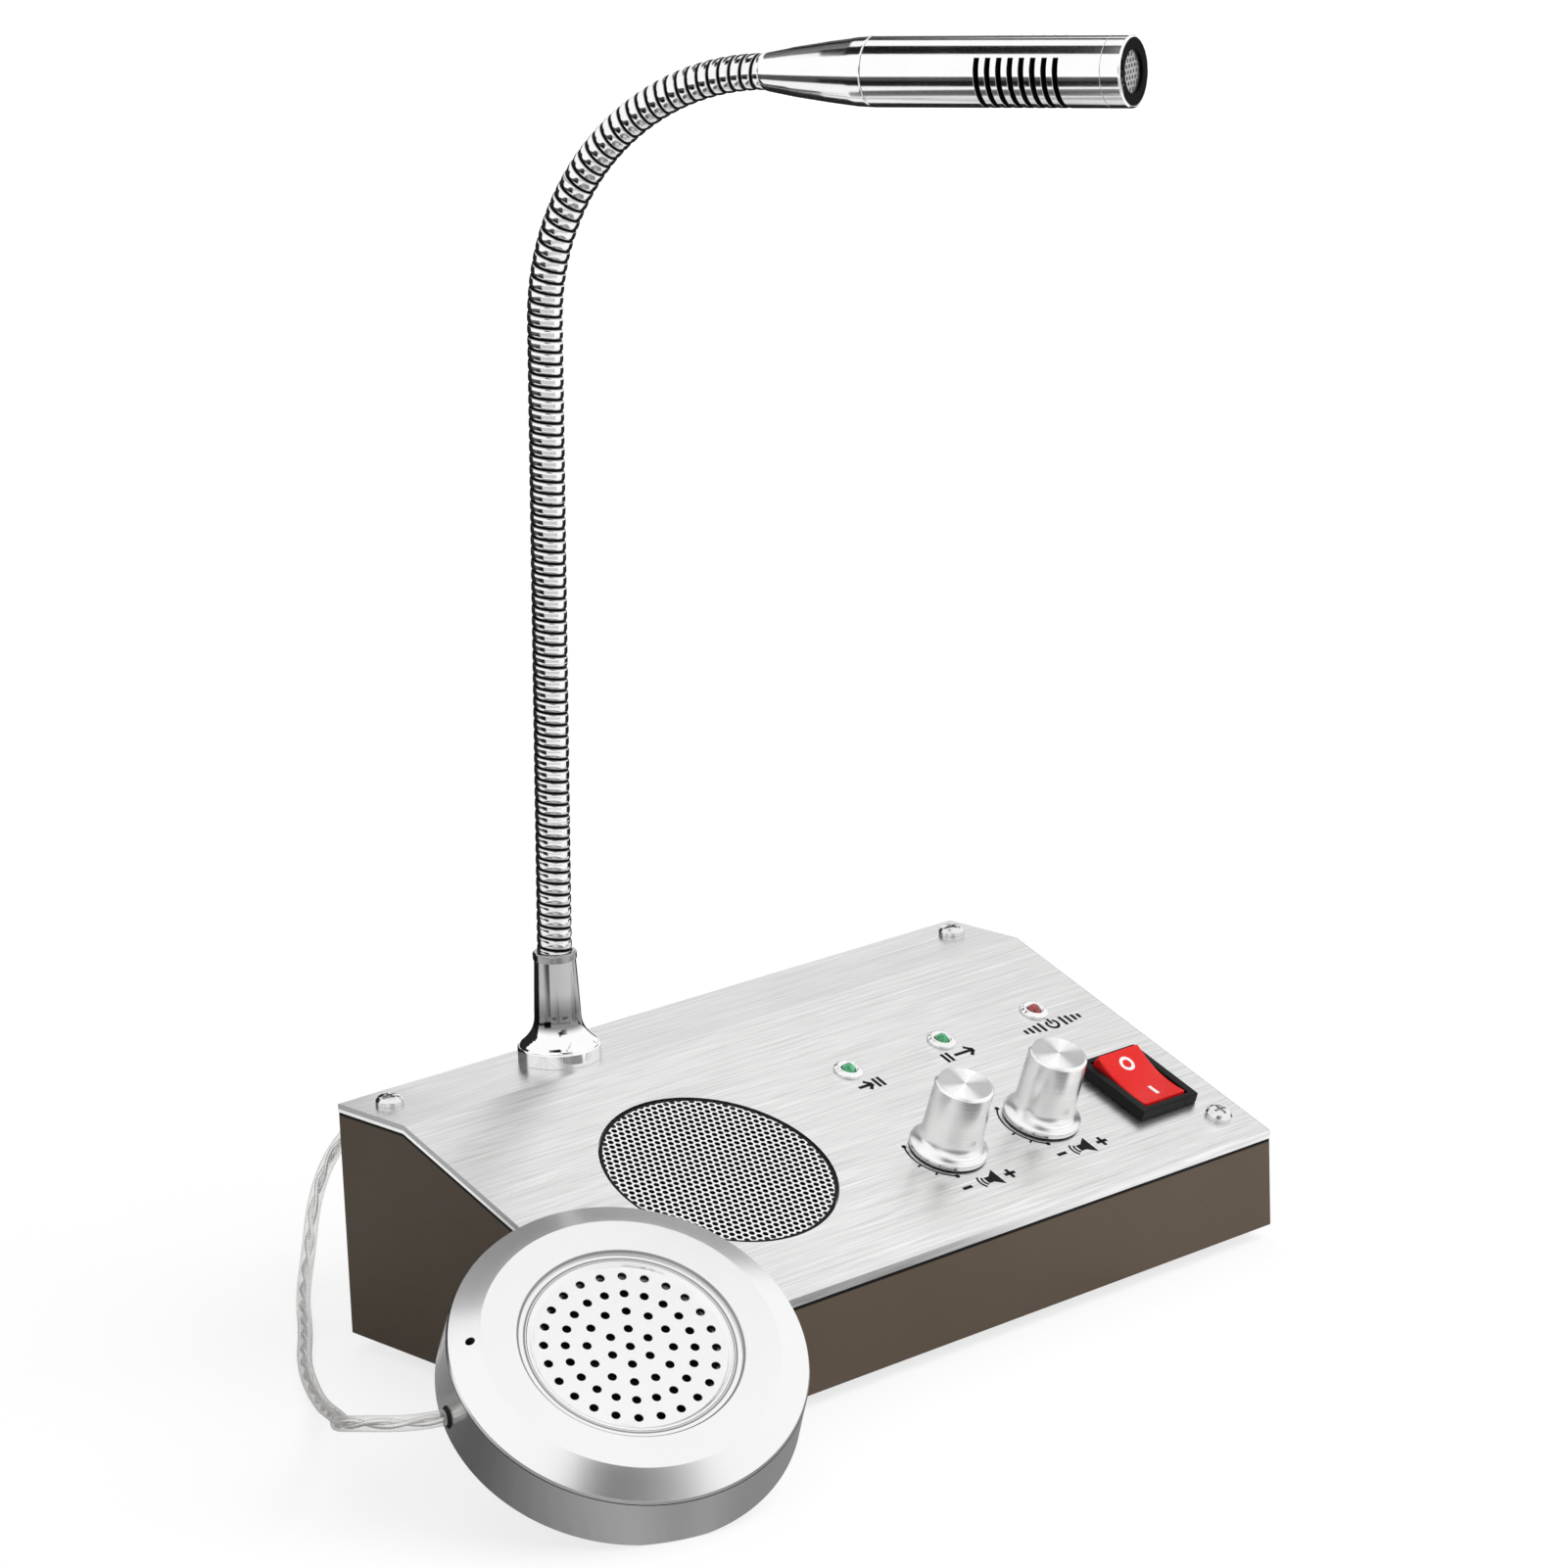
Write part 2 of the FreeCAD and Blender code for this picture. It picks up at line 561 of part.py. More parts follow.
def speaker_cone():
    """Paper cone with its roll surround and dust cap, inside the basket."""
    outer = "grille_radius - grille_rim - cone_gap"
    floor = "basket_wall - basket_depth + cone_gap"
    return turned("speaker_cone", on_panel("grille_x", GRILLE_DOWN, "-plate_thick"), [
        ("0", floor), ("7", floor), ("7", f"{floor} + 1.5"),
        (f"{outer} - 3.5", "-flange_thick - 1.6"), (f"{outer} - 1.8", "-flange_thick"),
        (outer, "-flange_thick - 0.4"), (outer, "-flange_thick + 0.3"),
        (f"{outer} - 1.8", "-flange_thick + 0.8"), (f"{outer} - 3.6", "-flange_thick - 0.6"),
        ("8", f"{floor} + 2.6"), ("5", f"{floor} + 3.8"), ("0", f"{floor} + 4.4")])


def speaker_clips():
    """Three clips on the panel's underside that hook under the speaker's flange."""
    clips = []
    for i in range(int(value("clip_count"))):
        turn = spun(f"90 + 360 * {i} / clip_count")
        seat = f"{on_panel('grille_x', GRILLE_DOWN, '-plate_thick')} * {turn}"
        bar = block(f"clip_bar_{i}", f"{seat} * {upright(FLANGE, '0', '-3 * flange_thick')}",
                    "2 * clip_reach", "clip_width", "3 * flange_thick")
        seat_cut = rod(f"clip_seat_{i}", f"{seat} * {upright(z='-flange_thick - grille_gap / 3')}",
                       f"{FLANGE} + grille_gap / 3", "2 * flange_thick")
        basket_cut = rod(f"clip_basket_{i}", f"{seat} * {upright(z='-unit_depth / 2')}",
                         f"{FLANGE} - clip_reach / 4", "unit_depth / 2 - flange_thick")
        clips.append(cut(f"clip_{i}", bar, [seat_cut, basket_cut]))
    return group("speaker_clips", clips)


# ---- lamps and volume controls ------------------------------------------------------

def lamp(label, x):
    """A domed lamp with its collar under the bezel and its body behind the panel."""
    return turned(label, on_panel(x, LED_DOWN), [
        ("0", "led_dome - led_length"), ("led_radius", "led_dome - led_length"),
        ("led_radius", "0.6"), ("led_radius * 0.87", "led_dome"),
        ("led_radius * 0.5", "led_dome + 0.5"), ("0", "led_dome + 0.65")])


def led_bezel(index, x):
    return turned(f"led_bezel_{index}", on_panel(x, LED_DOWN), [
        ("led_radius + lamp_gap", "-bezel_length"), ("bezel_shank", "-bezel_length"),
        ("bezel_shank", "0"), ("bezel_radius", "0"), ("bezel_radius", "bezel_height * 0.45"),
        ("bezel_radius - 0.7", "bezel_height"), ("bezel_radius - 1.2", "bezel_height"),
        ("led_radius + lamp_gap", "bezel_height * 0.5")])


def volume_pot(index, x):
    """A rotary control: its case under the panel and its threaded bush through it."""
    shaft_bore = "shaft_radius + running_gap"
    return turned(f"volume_pot_{index}", on_panel(x, KNOB_DOWN, "-plate_thick"), [
        ("0", "-pot_depth"), ("pot_radius", "-pot_depth"), ("pot_radius", "0"),
        ("bush_radius", "0"), ("bush_radius", "plate_thick + bush_top"),
        (shaft_bore, "plate_thick + bush_top"), (shaft_bore, "-pot_floor"), ("0", "-pot_floor")])


def pot_shaft(label, x):
    return turned(label, on_panel(x, KNOB_DOWN), [
        ("0", "running_gap - plate_thick - pot_floor"),
        ("shaft_radius", "running_gap - plate_thick - pot_floor"),
        ("shaft_radius", "shaft_top - 0.6"), ("shaft_radius - 0.6", "shaft_top"),
        ("0", "shaft_top")])


def volume_knob(label, x):
    """A turned knob with a flared skirt, hollow over the bush and nut."""
    bore = "shaft_radius + knob_bore_gap"
    return turned(label, on_panel(x, KNOB_DOWN), [
        (bore, "recess_height"), ("knob_recess", "recess_height"),
        ("knob_recess", "knob_lift"), ("skirt_radius", "knob_lift"),
        ("skirt_radius", "knob_lift + 0.7"), ("skirt_radius - 0.9", "knob_lift + 1.6"),
        ("knob_radius + 0.5", "skirt_height"), ("knob_radius + 0.25", "skirt_height + 1.6"),
        ("knob_radius", "knob_top - 0.6"), ("knob_radius - 0.6", "knob_top"),
        ("0", "knob_top"), ("0", "shaft_top + running_gap"), (bore, "shaft_top + running_gap")])


# ---- rocker switch ------------------------------------------------------------------

def switch_housing():
    """Black snap-in frame: a lip on the panel and a body with a well for the rocker."""
    housing = new_body("switch_housing", on_panel("switch_x", SWITCH_DOWN))
    lip = sketch_on(housing, "XY_Plane")
    rectangle(lip, "0", "0", "switch_width", "switch_length")
    pad(housing, lip, "switch_lip")
    body = sketch_on(housing, "XY_Plane", upright(z="-body_depth"))
    rectangle(body, "0", "0", "body_width", "body_length")
    pad(housing, body, "body_depth")
    well = sketch_on(housing, "XY_Plane", upright(z="switch_lip"))
    rectangle(well, "0", "0", "well_width", "well_length")
    pocket(housing, well, "switch_lip + well_depth")
    pins = sketch_on(housing, "YZ_Plane")
    circle(pins, "0", "pivot_height", "pivot_radius + pivot_gap")
    pocket(housing, pins, "well_width + 2 * (pivot_reach + pivot_gap)", centred=True)
    return housing


def power_rocker():
    """Red rocker about its pivot pins: a dished top and ends that sweep a round well."""
    side = [(f"rocker_radius * cos({angle})", f"rocker_radius * sin({angle})")
            for angle in (-26, -13, 0)]
    corner = ("sqrt(rocker_radius^2 - rocker_rise^2)", "rocker_rise")
    right = side + [corner]
    left = [(f"-{x}", z) for x, z in reversed(right)]
    place = (f"{on_panel('switch_x', SWITCH_DOWN, 'pivot_height')}"
             " * placement(vector(0; 0; 0); rotation(vector(1; 0; 0); rocker_tilt))")
    rocker = new_body("power_rocker", place)
    profile = sketch_on(rocker, "YZ_Plane")
    outline(profile, right + [("rocker_radius * 0.45", "rocker_dip + 0.3"), ("0", "rocker_dip"),
                              ("-rocker_radius * 0.45", "rocker_dip + 0.3")] + left +
            [("-rocker_bottom", "-rocker_bottom"), ("rocker_bottom", "-rocker_bottom")])
    pad(rocker, profile, "well_width - 2 * rocker_gap", centred=True)
    pins = sketch_on(rocker, "YZ_Plane")
    circle(pins, "0", "0", "pivot_radius")
    pad(rocker, pins, "well_width + 2 * pivot_reach", centred=True)
    return rocker


def switch_terminals():
    blades = [
        block(f"switch_blade_{i}", on_panel("switch_x", f"{SWITCH_DOWN} + terminal_pitch * {i - 1}",
                                            "-body_depth - terminal_length"),
              "terminal_width", "terminal_thick", "terminal_length")
        for i in range(3)]
    return group("switch_terminals", blades)


# ---- circuit board ------------------------------------------------------------------

def board_corners():
    along = "(board_length / 2 - board_inset)"
    across = "(board_depth / 2 - board_inset)"
    return [(f"board_x {a} {along}", f"board_y {b} {across}") for a in "-+" for b in "-+"]


def circuit_board():
    board = new_body("circuit_board")
    sheet = sketch_on(board, "XY_Plane", upright(z=f"{FLOOR_TOP} + board_lift"))
    rectangle(sheet, "board_x", "board_y", "board_length", "board_depth")
    pad(board, sheet, "board_thick")
    round_holes(board, board_corners(), SCREW_HOLE, "4 * board_thick",
                upright(z=f"{FLOOR_TOP} + board_lift"), centred=True)
    return board


def board_standoffs():
    return group("board_standoffs", [
        turned(f"standoff_{i}", upright(x, y, FLOOR_TOP), [
            (THREAD, "0"), ("standoff_radius", "0"), ("standoff_radius", "board_lift"),
            (THREAD, "board_lift")])
        for i, (x, y) in enumerate(board_corners())])


def board_screws():
    return group("board_screws", [
        pan_screw(f"board_screw_{i}", upright(x, y, BOARD_TOP), "board_screw_length")
        for i, (x, y) in enumerate(board_corners())])


def board_capacitors():
    """A row of upright smoothing capacitors along the board's rear."""
    return group("board_capacitors", [
        turned(f"capacitor_{i}", upright(f"board_x + {i - 1} * capacitor_pitch",
                                         "board_y + board_depth / 4", BOARD_TOP), [
            ("0", "0"), ("capacitor_radius", "0"), ("capacitor_radius", "capacitor_height - 0.6"),
            ("capacitor_radius - 0.6", "capacitor_height"), ("0", "capacitor_height")])
        for i in range(3)])


def amplifier_sink():
    """A finned cooler over the amplifier chip."""
    sink = new_body("amplifier_heat_sink",
                    upright("board_x - board_length / 4", "board_y - board_depth / 6", BOARD_TOP))
    base = sketch_on(sink, "XY_Plane")
    rectangle(base, "0", "0", "sink_length", "sink_width")
    pad(sink, base, "sink_height")
    gaps = sketch_on(sink, "XZ_Plane")
    for i in range(4):
        rectangle(gaps, f"{i - 1.5} * fin_pitch", "sink_base + sink_height / 2", "fin_gap",
                  "sink_height")
    pocket(sink, gaps, "2 * sink_width", centred=True)
    return sink


def board_connectors():
    """Plug headers along the front edge for the pots, switch, speaker and microphone."""
    return group("board_connectors", [
        block(f"header_{i}", upright(f"board_x + {i - 1} * header_pitch",
                                     "board_y - board_depth / 2 + header_inset", BOARD_TOP),
              "header_length", "header_width", "header_height")
        for i in range(3)])


# ---- rear sockets -------------------------------------------------------------------

def line_socket():
    """Jack for the outside speaker: a block behind the wall and a bush through it."""
    jack = new_body("line_socket", out_of_rear("line_x", "line_z"))
    case = sketch_on(jack, "XY_Plane", upright(z="-shell_wall - line_length"))
    rectangle(case, "0", "0", "line_body", "line_body")
    pad(jack, case, "line_length")
    bush = sketch_on(jack, "XY_Plane", upright(z="-shell_wall"))
    circle(bush, "0", "0", "line_bush")
    pad(jack, bush, "shell_wall + line_reach")
    round_holes(jack, [("0", "0")], "line_bore", "line_reach + line_depth",
                upright(z="line_reach"))
    return jack


def power_inlet():
    """Inlet for the power supply's barrel plug, with its centre pin."""
    inlet = turned("power_inlet", out_of_rear("power_x", "power_z"), [
        ("0", "-power_length"), ("power_bush", "-power_length"), ("power_bush", "0"),
        ("power_flange", "0"), ("power_flange", "power_lip - 0.4"),
        ("power_flange - 0.4", "power_lip"), ("power_bore", "power_lip"),
        ("power_bore", "power_lip - power_depth"), ("power_pin", "power_lip - power_depth"),
        ("power_pin", "power_lip - 1"), ("0", "power_lip - 0.6")])
    return inlet


def line_plug():
    """Moulded plug on the cable: its pin in the socket, its tail round the cable."""
    return turned("line_plug", out_of_rear("line_x", "line_z", "line_reach + plug_gap"), [
        ("0", "-plug_pin"), ("0.8", "-plug_pin"), ("line_bore - running_gap", "1.4 - plug_pin"),
        ("line_bore - running_gap", "0"), ("plug_radius", "0"),
        ("plug_radius", "plug_length - 1"), ("plug_radius - 0.6", "plug_length"),
        ("plug_tail_radius + 0.4", "plug_length"), ("plug_tail_radius", "plug_length + plug_tail"),
        ("0", "plug_length + plug_tail")])


# ---- gooseneck ----------------------------------------------------------------------

def neck_frame(length):
    """The neck's line at a length from the socket's top: place and lean from upright.

    It leans straight up over neck_straight, then follows one arc until the
    microphone's axis is nearly level.
    """
    lean = math.radians(value("neck_lean"))
    straight = value("neck_straight")
    radius = value("neck_bend")
    run = min(length, straight)
    out = run * math.sin(lean)
    height = run * math.cos(lean)
    angle = lean
    if length > straight:
        angle = lean + (length - straight) / radius
        out += radius * (math.cos(lean) - math.cos(angle))
        height += radius * (math.sin(angle) - math.sin(lean))
    turn = math.radians(value("neck_turn"))
    foot = vector("neck_x", NECK_Y, f"{REAR_TOP} + socket_height")
    return foot + FreeCAD.Vector(out * math.sin(turn), -out * math.cos(turn), height), angle


def neck_place(length, along="0"):
    """A placement along the neck, or on the microphone's axis beyond its end.

    Its Z axis follows the neck and its X axis is level, across the neck's plane.
    """
    spot, angle = neck_frame(length)
    turn = math.radians(value("neck_turn"))
    side = FreeCAD.Vector(math.cos(turn), math.sin(turn), 0)
    rotation = FreeCAD.Rotation(side, math.degrees(angle))
    ahead = rotation.multVec(FreeCAD.Vector(0, 0, value(along)))
    return FreeCAD.Placement(
        spot + ahead, rotation * FreeCAD.Rotation(FreeCAD.Vector(0, 0, 1), math.degrees(turn)))


def neck_length():
    bend = math.radians(90 - value("mic_rise") - value("neck_lean"))
    return value("neck_straight") + value("neck_bend") * bend


def neck_tube(start, end):
    """Round rod along the neck's line between two lengths."""
    straight = value("neck_straight")
    edges = []
    if start < straight:
        edges.append(Part.LineSegment(neck_frame(start)[0], neck_frame(min(end, straight))[0]).toShape())
    if end > straight:
        first = max(start, straight)
        points = [neck_frame(length)[0] for length in (first, (first + end) / 2, end)]
        edges.append(Part.Arc(*points).toShape())
    spot, angle = neck_frame(start)
    axis = neck_place(start).Rotation.multVec(FreeCAD.Vector(0, 0, 1))
    section = Part.Wire(Part.makeCircle(value("neck_radius"), spot, axis))
    return Part.Wire(edges).makePipeShell([section], True, False)


def neck_link(label, start, end, ball, cup):
    """One stretch of neck: a ball about its lower pivot and a cup for the next ball."""
    low = start + value("ball_shoulder") if ball else start
    high = end - value("cup_rim") if cup else end
    shape = neck_tube(low, high)
    if ball:
        shape = shape.fuse(Part.makeSphere(value("ball_radius"), neck_frame(start)[0]))
    if cup:
        shape = shape.cut(Part.makeSphere(value("ball_radius + cup_gap"), neck_frame(end)[0]))
    return placed_shape(label, shape, FreeCAD.Placement())


def neck_socket():
    """Chrome flange on the flat, flaring into the stem that grips the neck."""
    top = "socket_height"
    return turned("neck_socket", upright("neck_x", NECK_Y, REAR_TOP), [
        ("0", "-plate_thick - shank_length"), ("shank_radius", "-plate_thick - shank_length"),
        ("shank_radius", "0"), ("socket_radius", "0"), ("socket_radius", "socket_base - 0.4"),
        ("socket_radius - 0.4", "socket_base"), ("socket_radius - 2.2", "socket_base + 2"),
        ("stem_foot + 0.6", "flare_top - 1.6"), ("stem_foot", "flare_top"),
        ("stem_top", f"{top} - collar_height"), ("collar_radius", f"{top} - collar_height"),
        ("collar_radius", f"{top} - 0.3"), ("collar_radius - 0.3", top),
        ("neck_radius + cup_gap", top), ("neck_radius + cup_gap", f"{top} - neck_entry - cup_gap"),
        ("0", f"{top} - neck_entry - cup_gap")])


# ---- microphone ---------------------------------------------------------------------

def at_mic(body, along):
    body.Placement = neck_place(neck_length(), along)
    return body


def mic_tail():
    """Tapered tail from the neck's width to the full tube, hollow at its wide end."""
    return at_mic(turned("mic_tail", None, [
        ("0", "0"), ("neck_radius", "0"), ("neck_radius + 0.3", "1"),
        ("neck_radius + 1.35", "tail_length * 0.28"), ("mic_radius - 0.9", "tail_length * 0.6"),
        ("mic_radius - 0.15", "tail_length * 0.86"), ("mic_radius", "tail_length"),
        ("mic_radius - mic_wall", "tail_length"),
        ("mic_radius - mic_wall - 1", "tail_length * 0.6"), ("0", "tail_length * 0.6")]), "0")


def mic_tube():
    """Slotted tube; the slots reach through two opposite sides."""
    tube = new_body("mic_tube")
    section = sketch_on(tube, "XY_Plane")
    circle(section, "0", "0", "mic_radius")
    circle(section, "0", "0", "mic_radius - mic_wall")
    pad(tube, section, "mic_length - ring_length - tail_length")
    slot = sketch_on(tube, "YZ_Plane", spun("0"))
    rectangle(slot, "0", "slot_start - tail_length", "2 * mic_radius * sin(slot_span / 2)",
              "slot_width")
    first = pocket(tube, slot, "4 * mic_radius", centred=True)
    row = tube.newObject("PartDesign::LinearPattern", "mic_tube_slots")
    row.Originals = [first]
    row.Direction = (slot, ["V_Axis"])
    row.setExpression("Length", bound("slot_pitch * (slot_count - 1)"))
    row.setExpression("Occurrences", bound("slot_count"))
    tube.Tip = row
    at_mic(tube, "tail_length")
    tube.Placement = tube.Placement * FreeCAD.Placement(
        FreeCAD.Vector(), FreeCAD.Rotation(FreeCAD.Vector(0, 0, 1), value("slot_turn")))
    return tube


def mic_end_ring():
    return at_mic(turned("mic_end_ring", None, [
        ("mic_radius - mic_wall", "0"), ("mic_radius", "0"),
        ("mic_radius", "ring_length - 0.3"), ("mic_radius - 0.3", "ring_length"),
        ("mic_radius - 0.5", "ring_length"), ("mic_radius - 0.5", "ring_length - face_thick"),
        ("mic_radius - mic_wall", "ring_length - face_thick")]), "mic_length - ring_length")


def mic_face():
    """Black annulus that closes the front end round the mesh."""
    return at_mic(turned("mic_face", None, [
        ("mesh_radius", "0"), ("mic_radius - 0.55", "0"), ("mic_radius - 0.55", "face_thick"),
        ("mesh_radius", "face_thick")]), "mic_length - face_thick")


def mic_mesh():
    """Fine perforated disc set just behind the face, over the capsule."""
    disc = perforated_disc(value("mic_radius - mic_wall - running_gap"), value("mesh_hole"),
                           value("mesh_pitch"), value("mic_radius - mic_wall - mesh_radius"),
                           value("mesh_thick"))
    return placed_shape("mic_mesh", disc,
                        neck_place(neck_length(), "mic_length - face_thick - mesh_thick"))


def mic_capsule():
    return at_mic(turned("mic_capsule", None, [
        ("0", "0"), ("capsule_radius", "0"), ("capsule_radius", "capsule_length - 0.4"),
        ("capsule_radius - 0.4", "capsule_length"), ("0", "capsule_length")]),
        "mic_length - face_thick - mesh_thick - capsule_length")


def mic_capsule_holder():
    """Rubber cup that holds the capsule in the tube."""
    return at_mic(turned("mic_capsule_holder", None, [
        ("0", "0"), ("mic_radius - mic_wall - running_gap", "0"),
        ("mic_radius - mic_wall - running_gap", "capsule_length"),
        ("capsule_radius + running_gap", "capsule_length"), ("capsule_radius + running_gap", "1.5"),
        ("0", "1.5")]), "mic_length - face_thick - mesh_thick - capsule_length - 1.5")


# ---- outside speaker ----------------------------------------------------------------

SPLIT = "(puck_height - puck_bevel)"
SHOULDER = "(puck_radius - puck_taper)"
FACE = f"({SHOULDER} - bevel_width)"
MIC_RING = f"({FACE} + mic_hole_inset)"


def boss_spots():
    return [(f"boss_ring * cos(boss_turn + 360 * {i} / boss_count)",
             f"boss_ring * sin(boss_turn + 360 * {i} / boss_count)")
            for i in range(int(value("boss_count")))]


def puck_back_shell():
    """Round cup: the dark side wall and the flat back."""
    shell = turned("puck_back_shell", in_puck(), [
        ("0", "0"), ("puck_radius - puck_edge", "0"), ("puck_radius", "puck_edge"),
        (SHOULDER, SPLIT), (f"{SHOULDER} - puck_wall", SPLIT),
        (f"{SHOULDER} - puck_wall", "puck_floor"), ("0", "puck_floor")])
    round_holes(shell, boss_spots(), SCREW_HOLE, "4 * puck_floor", centred=True)
    exit_face = (f"{spun('exit_turn + 90')}"
                 " * placement(vector(0; 0; 0); rotation(vector(1; 0; 0); 90))")
    hole = sketch_on(shell, "XY_Plane", exit_face)
    circle(hole, "0", "exit_height", "grommet_radius")
    pocket(shell, hole, "1.1 * puck_radius", upward=True)
    return shell


def puck_front_shell():
    """Bevelled front: shoulder, flat ring, the recess for the dish, and screw bosses."""
    slant = "(puck_height - puck_wall)"
    front = turned("puck_front_shell", in_puck(), [
        (SHOULDER, SPLIT), (f"{SHOULDER} - 0.35", f"{SPLIT} + 0.75"),
        (f"{FACE} + 1.6", "puck_height - 0.75"), (FACE, "puck_height"),
        ("dish_radius + 0.5", "puck_height"), ("dish_radius", "puck_height - 0.5"),
        ("dish_radius", "puck_height - dish_ledge"),
        ("dish_step + dish_gap", "puck_height - dish_ledge"),
        ("dish_step + dish_gap", f"{slant} - dish_ledge"),
        ("dish_radius + puck_wall", f"{slant} - dish_ledge"),
        ("dish_radius + puck_wall", slant), (f"{FACE} - 1.2", slant),
        (f"{SHOULDER} - puck_wall - 0.6", SPLIT)])
    bosses = sketch_on(front, "XY_Plane", upright(z="puck_floor"))
    for x, y in boss_spots():
        circle(bosses, x, y, "boss_radius")
    pad(front, bosses, f"{slant} - puck_floor")
    round_holes(front, boss_spots(), THREAD, "screw_length",
                upright(z="puck_floor"), upward=True)
    mic = sketch_on(front, "XY_Plane", f"{spun('mic_hole_turn')} * {upright(z='puck_height')}")
    circle(mic, MIC_RING, "0", "mic_hole")
    pocket(front, mic, "puck_bevel")
    return front


def puck_dish():
    """Perforated dish: a centre hole and four rings of holes on one radial line."""
    top = "(puck_height - dish_depth)"
    dish = turned("puck_dish", in_puck(), [
        ("0", f"{top} - dish_thick"), ("dish_step", f"{top} - dish_thick"),
        ("dish_step", "puck_height - dish_ledge"),
        ("dish_step - 0.5", "puck_height - dish_ledge"), ("dish_step - 1.1", top), ("0", top)])
    face = f"{upright(z=top)} * {spun('hole_turn')}"
    round_holes(dish, [("0", "0")], "hole_radius", "4 * dish_thick", face, centred=True)
    for ring, count in enumerate((6, 12, 20, 24), start=1):
        hole = round_holes(dish, [(f"{ring} * hole_ring", "0")], "hole_radius",
                           "4 * dish_thick", face, centred=True)
        round_pattern(dish, hole, count)
    return dish


def puck_driver_parts():
    """Small loudspeaker behind the dish: frame, cone and magnet."""
    seat = "(puck_height - dish_depth - dish_thick)"
    frame = turned("puck_speaker_frame", in_puck(z=seat), [
        ("driver_radius - 1.5", "0"), ("driver_radius", "0"), ("driver_radius", "-driver_flange"),
        ("driver_radius - 1.2", "-driver_flange - 0.5"),
        ("driver_magnet + 1", "-driver_depth"), ("0", "-driver_depth"),
        ("0", "0.8 - driver_depth"), ("driver_magnet", "0.8 - driver_depth"),
        ("driver_radius - 2.4", "-driver_flange")])
    cone = turned("puck_speaker_cone", in_puck(z=seat), [
        ("0", "1.5 - driver_depth"), ("5", "1.5 - driver_depth"), ("driver_radius - 5.5", "-2"),
        ("driver_radius - 3.2", "-driver_flange - 0.1"), ("driver_radius - 3.2", "-0.6"),
        ("driver_radius - 5.5", "-1.2"), ("5.5", "2.5 - driver_depth"), ("0", "3.1 - driver_depth")])
    magnet = turned("puck_speaker_magnet", in_puck(z=f"{seat} - driver_depth"), [
        ("0", "-driver_magnet_depth"), ("driver_magnet - 0.4", "-driver_magnet_depth"),
        ("driver_magnet", "0.4 - driver_magnet_depth"), ("driver_magnet", "0"), ("0", "0")])
    return [frame, cone, magnet]


def puck_microphone():
    """Pickup capsule under the small hole in the bevel."""
    return turned("puck_microphone",
                  in_puck(f"{MIC_RING} - 1.4", "0",
                          "puck_height - puck_wall - capsule_small_depth - 2.2", "mic_hole_turn"), [
        ("0", "0"), ("capsule_small", "0"), ("capsule_small", "capsule_small_depth"),
        ("0", "capsule_small_depth")])


def puck_screws():
    """Screws through the back into the front shell's bosses."""
    down = "placement(vector(0; 0; 0); rotation(vector(1; 0; 0); 180))"
    return group("puck_screws", [
        pan_screw(f"puck_screw_{i}", f"{in_puck(x, y)} * {down}")
        for i, (x, y) in enumerate(boss_spots())])


def cable_grommet():
    """Black sleeve in the side wall, where the cable goes in."""
    place = (f"{in_puck(z='exit_height', turn='exit_turn')}"
             " * placement(vector(0; 0; 0); rotation(vector(0; 1; 0); 90))")
    return turned("cable_grommet", f"{place} * {upright(z=f'{SHOULDER} - puck_wall - 0.8')}", [
        ("0", "0"), ("grommet_radius - 0.05", "0"),
        ("grommet_radius - 0.05", "puck_wall + 0.8 + puck_taper"),
        ("cable_radius + 0.2", "puck_wall + 0.8 + puck_taper + grommet_lip"),
        ("0", "puck_wall + 0.8 + puck_taper + grommet_lip")])


def cable_route():
    """Corners of the cable's route, from the grommet's end face to the plug's tail.

    It leaves the outside speaker along the grommet, curls down to the table, passes
    the desk unit's rear corner and climbs in a loop to the plug behind the unit.
    """
    exit_place = (f"{in_puck(z='exit_height', turn='exit_turn')}"
                  " * placement(vector(0; 0; 0); rotation(vector(0; 1; 0); 90))"
                  f" * {upright(z='puck_radius + grommet_lip')}")
    place = dims.evalExpression(exit_place)
    leave = place.Base
    ahead = place.Rotation.multVec(FreeCAD.Vector(0, 0, 1))
    corner = vector("-unit_width / 2", "unit_depth / 2", "0")
    plug = vector("line_x", "unit_depth / 2 + line_reach + plug_gap + plug_length + plug_tail",
                  "line_z")
    table = value("cable_radius") + 0.1
    near = [(-12.3, 9.5, -0.2), (-11.8, 19.6, -3.0), (-0.8, 31.9, -9.2), (10.1, 48.7, -15.6)]
    beside = [(-27.9, -24.4), (-17.2, -5.3), (-3.6, 11.4), (8.2, 28.1)]
    climb = [(-20.6, 14.2, -29.9), (-12.9, 21.6, -21.7), (-7.1, 22.6, -12.8),
             (-2.6, 17.8, -4.9), (0.0, 9.8, 0.0)]
    return ([leave, leave + ahead * 6] + [leave + FreeCAD.Vector(*step) for step in near]
            + [FreeCAD.Vector(corner.x + x, corner.y + y, table) for x, y in beside]
            + [plug + FreeCAD.Vector(*step) for step in climb] + [plug])


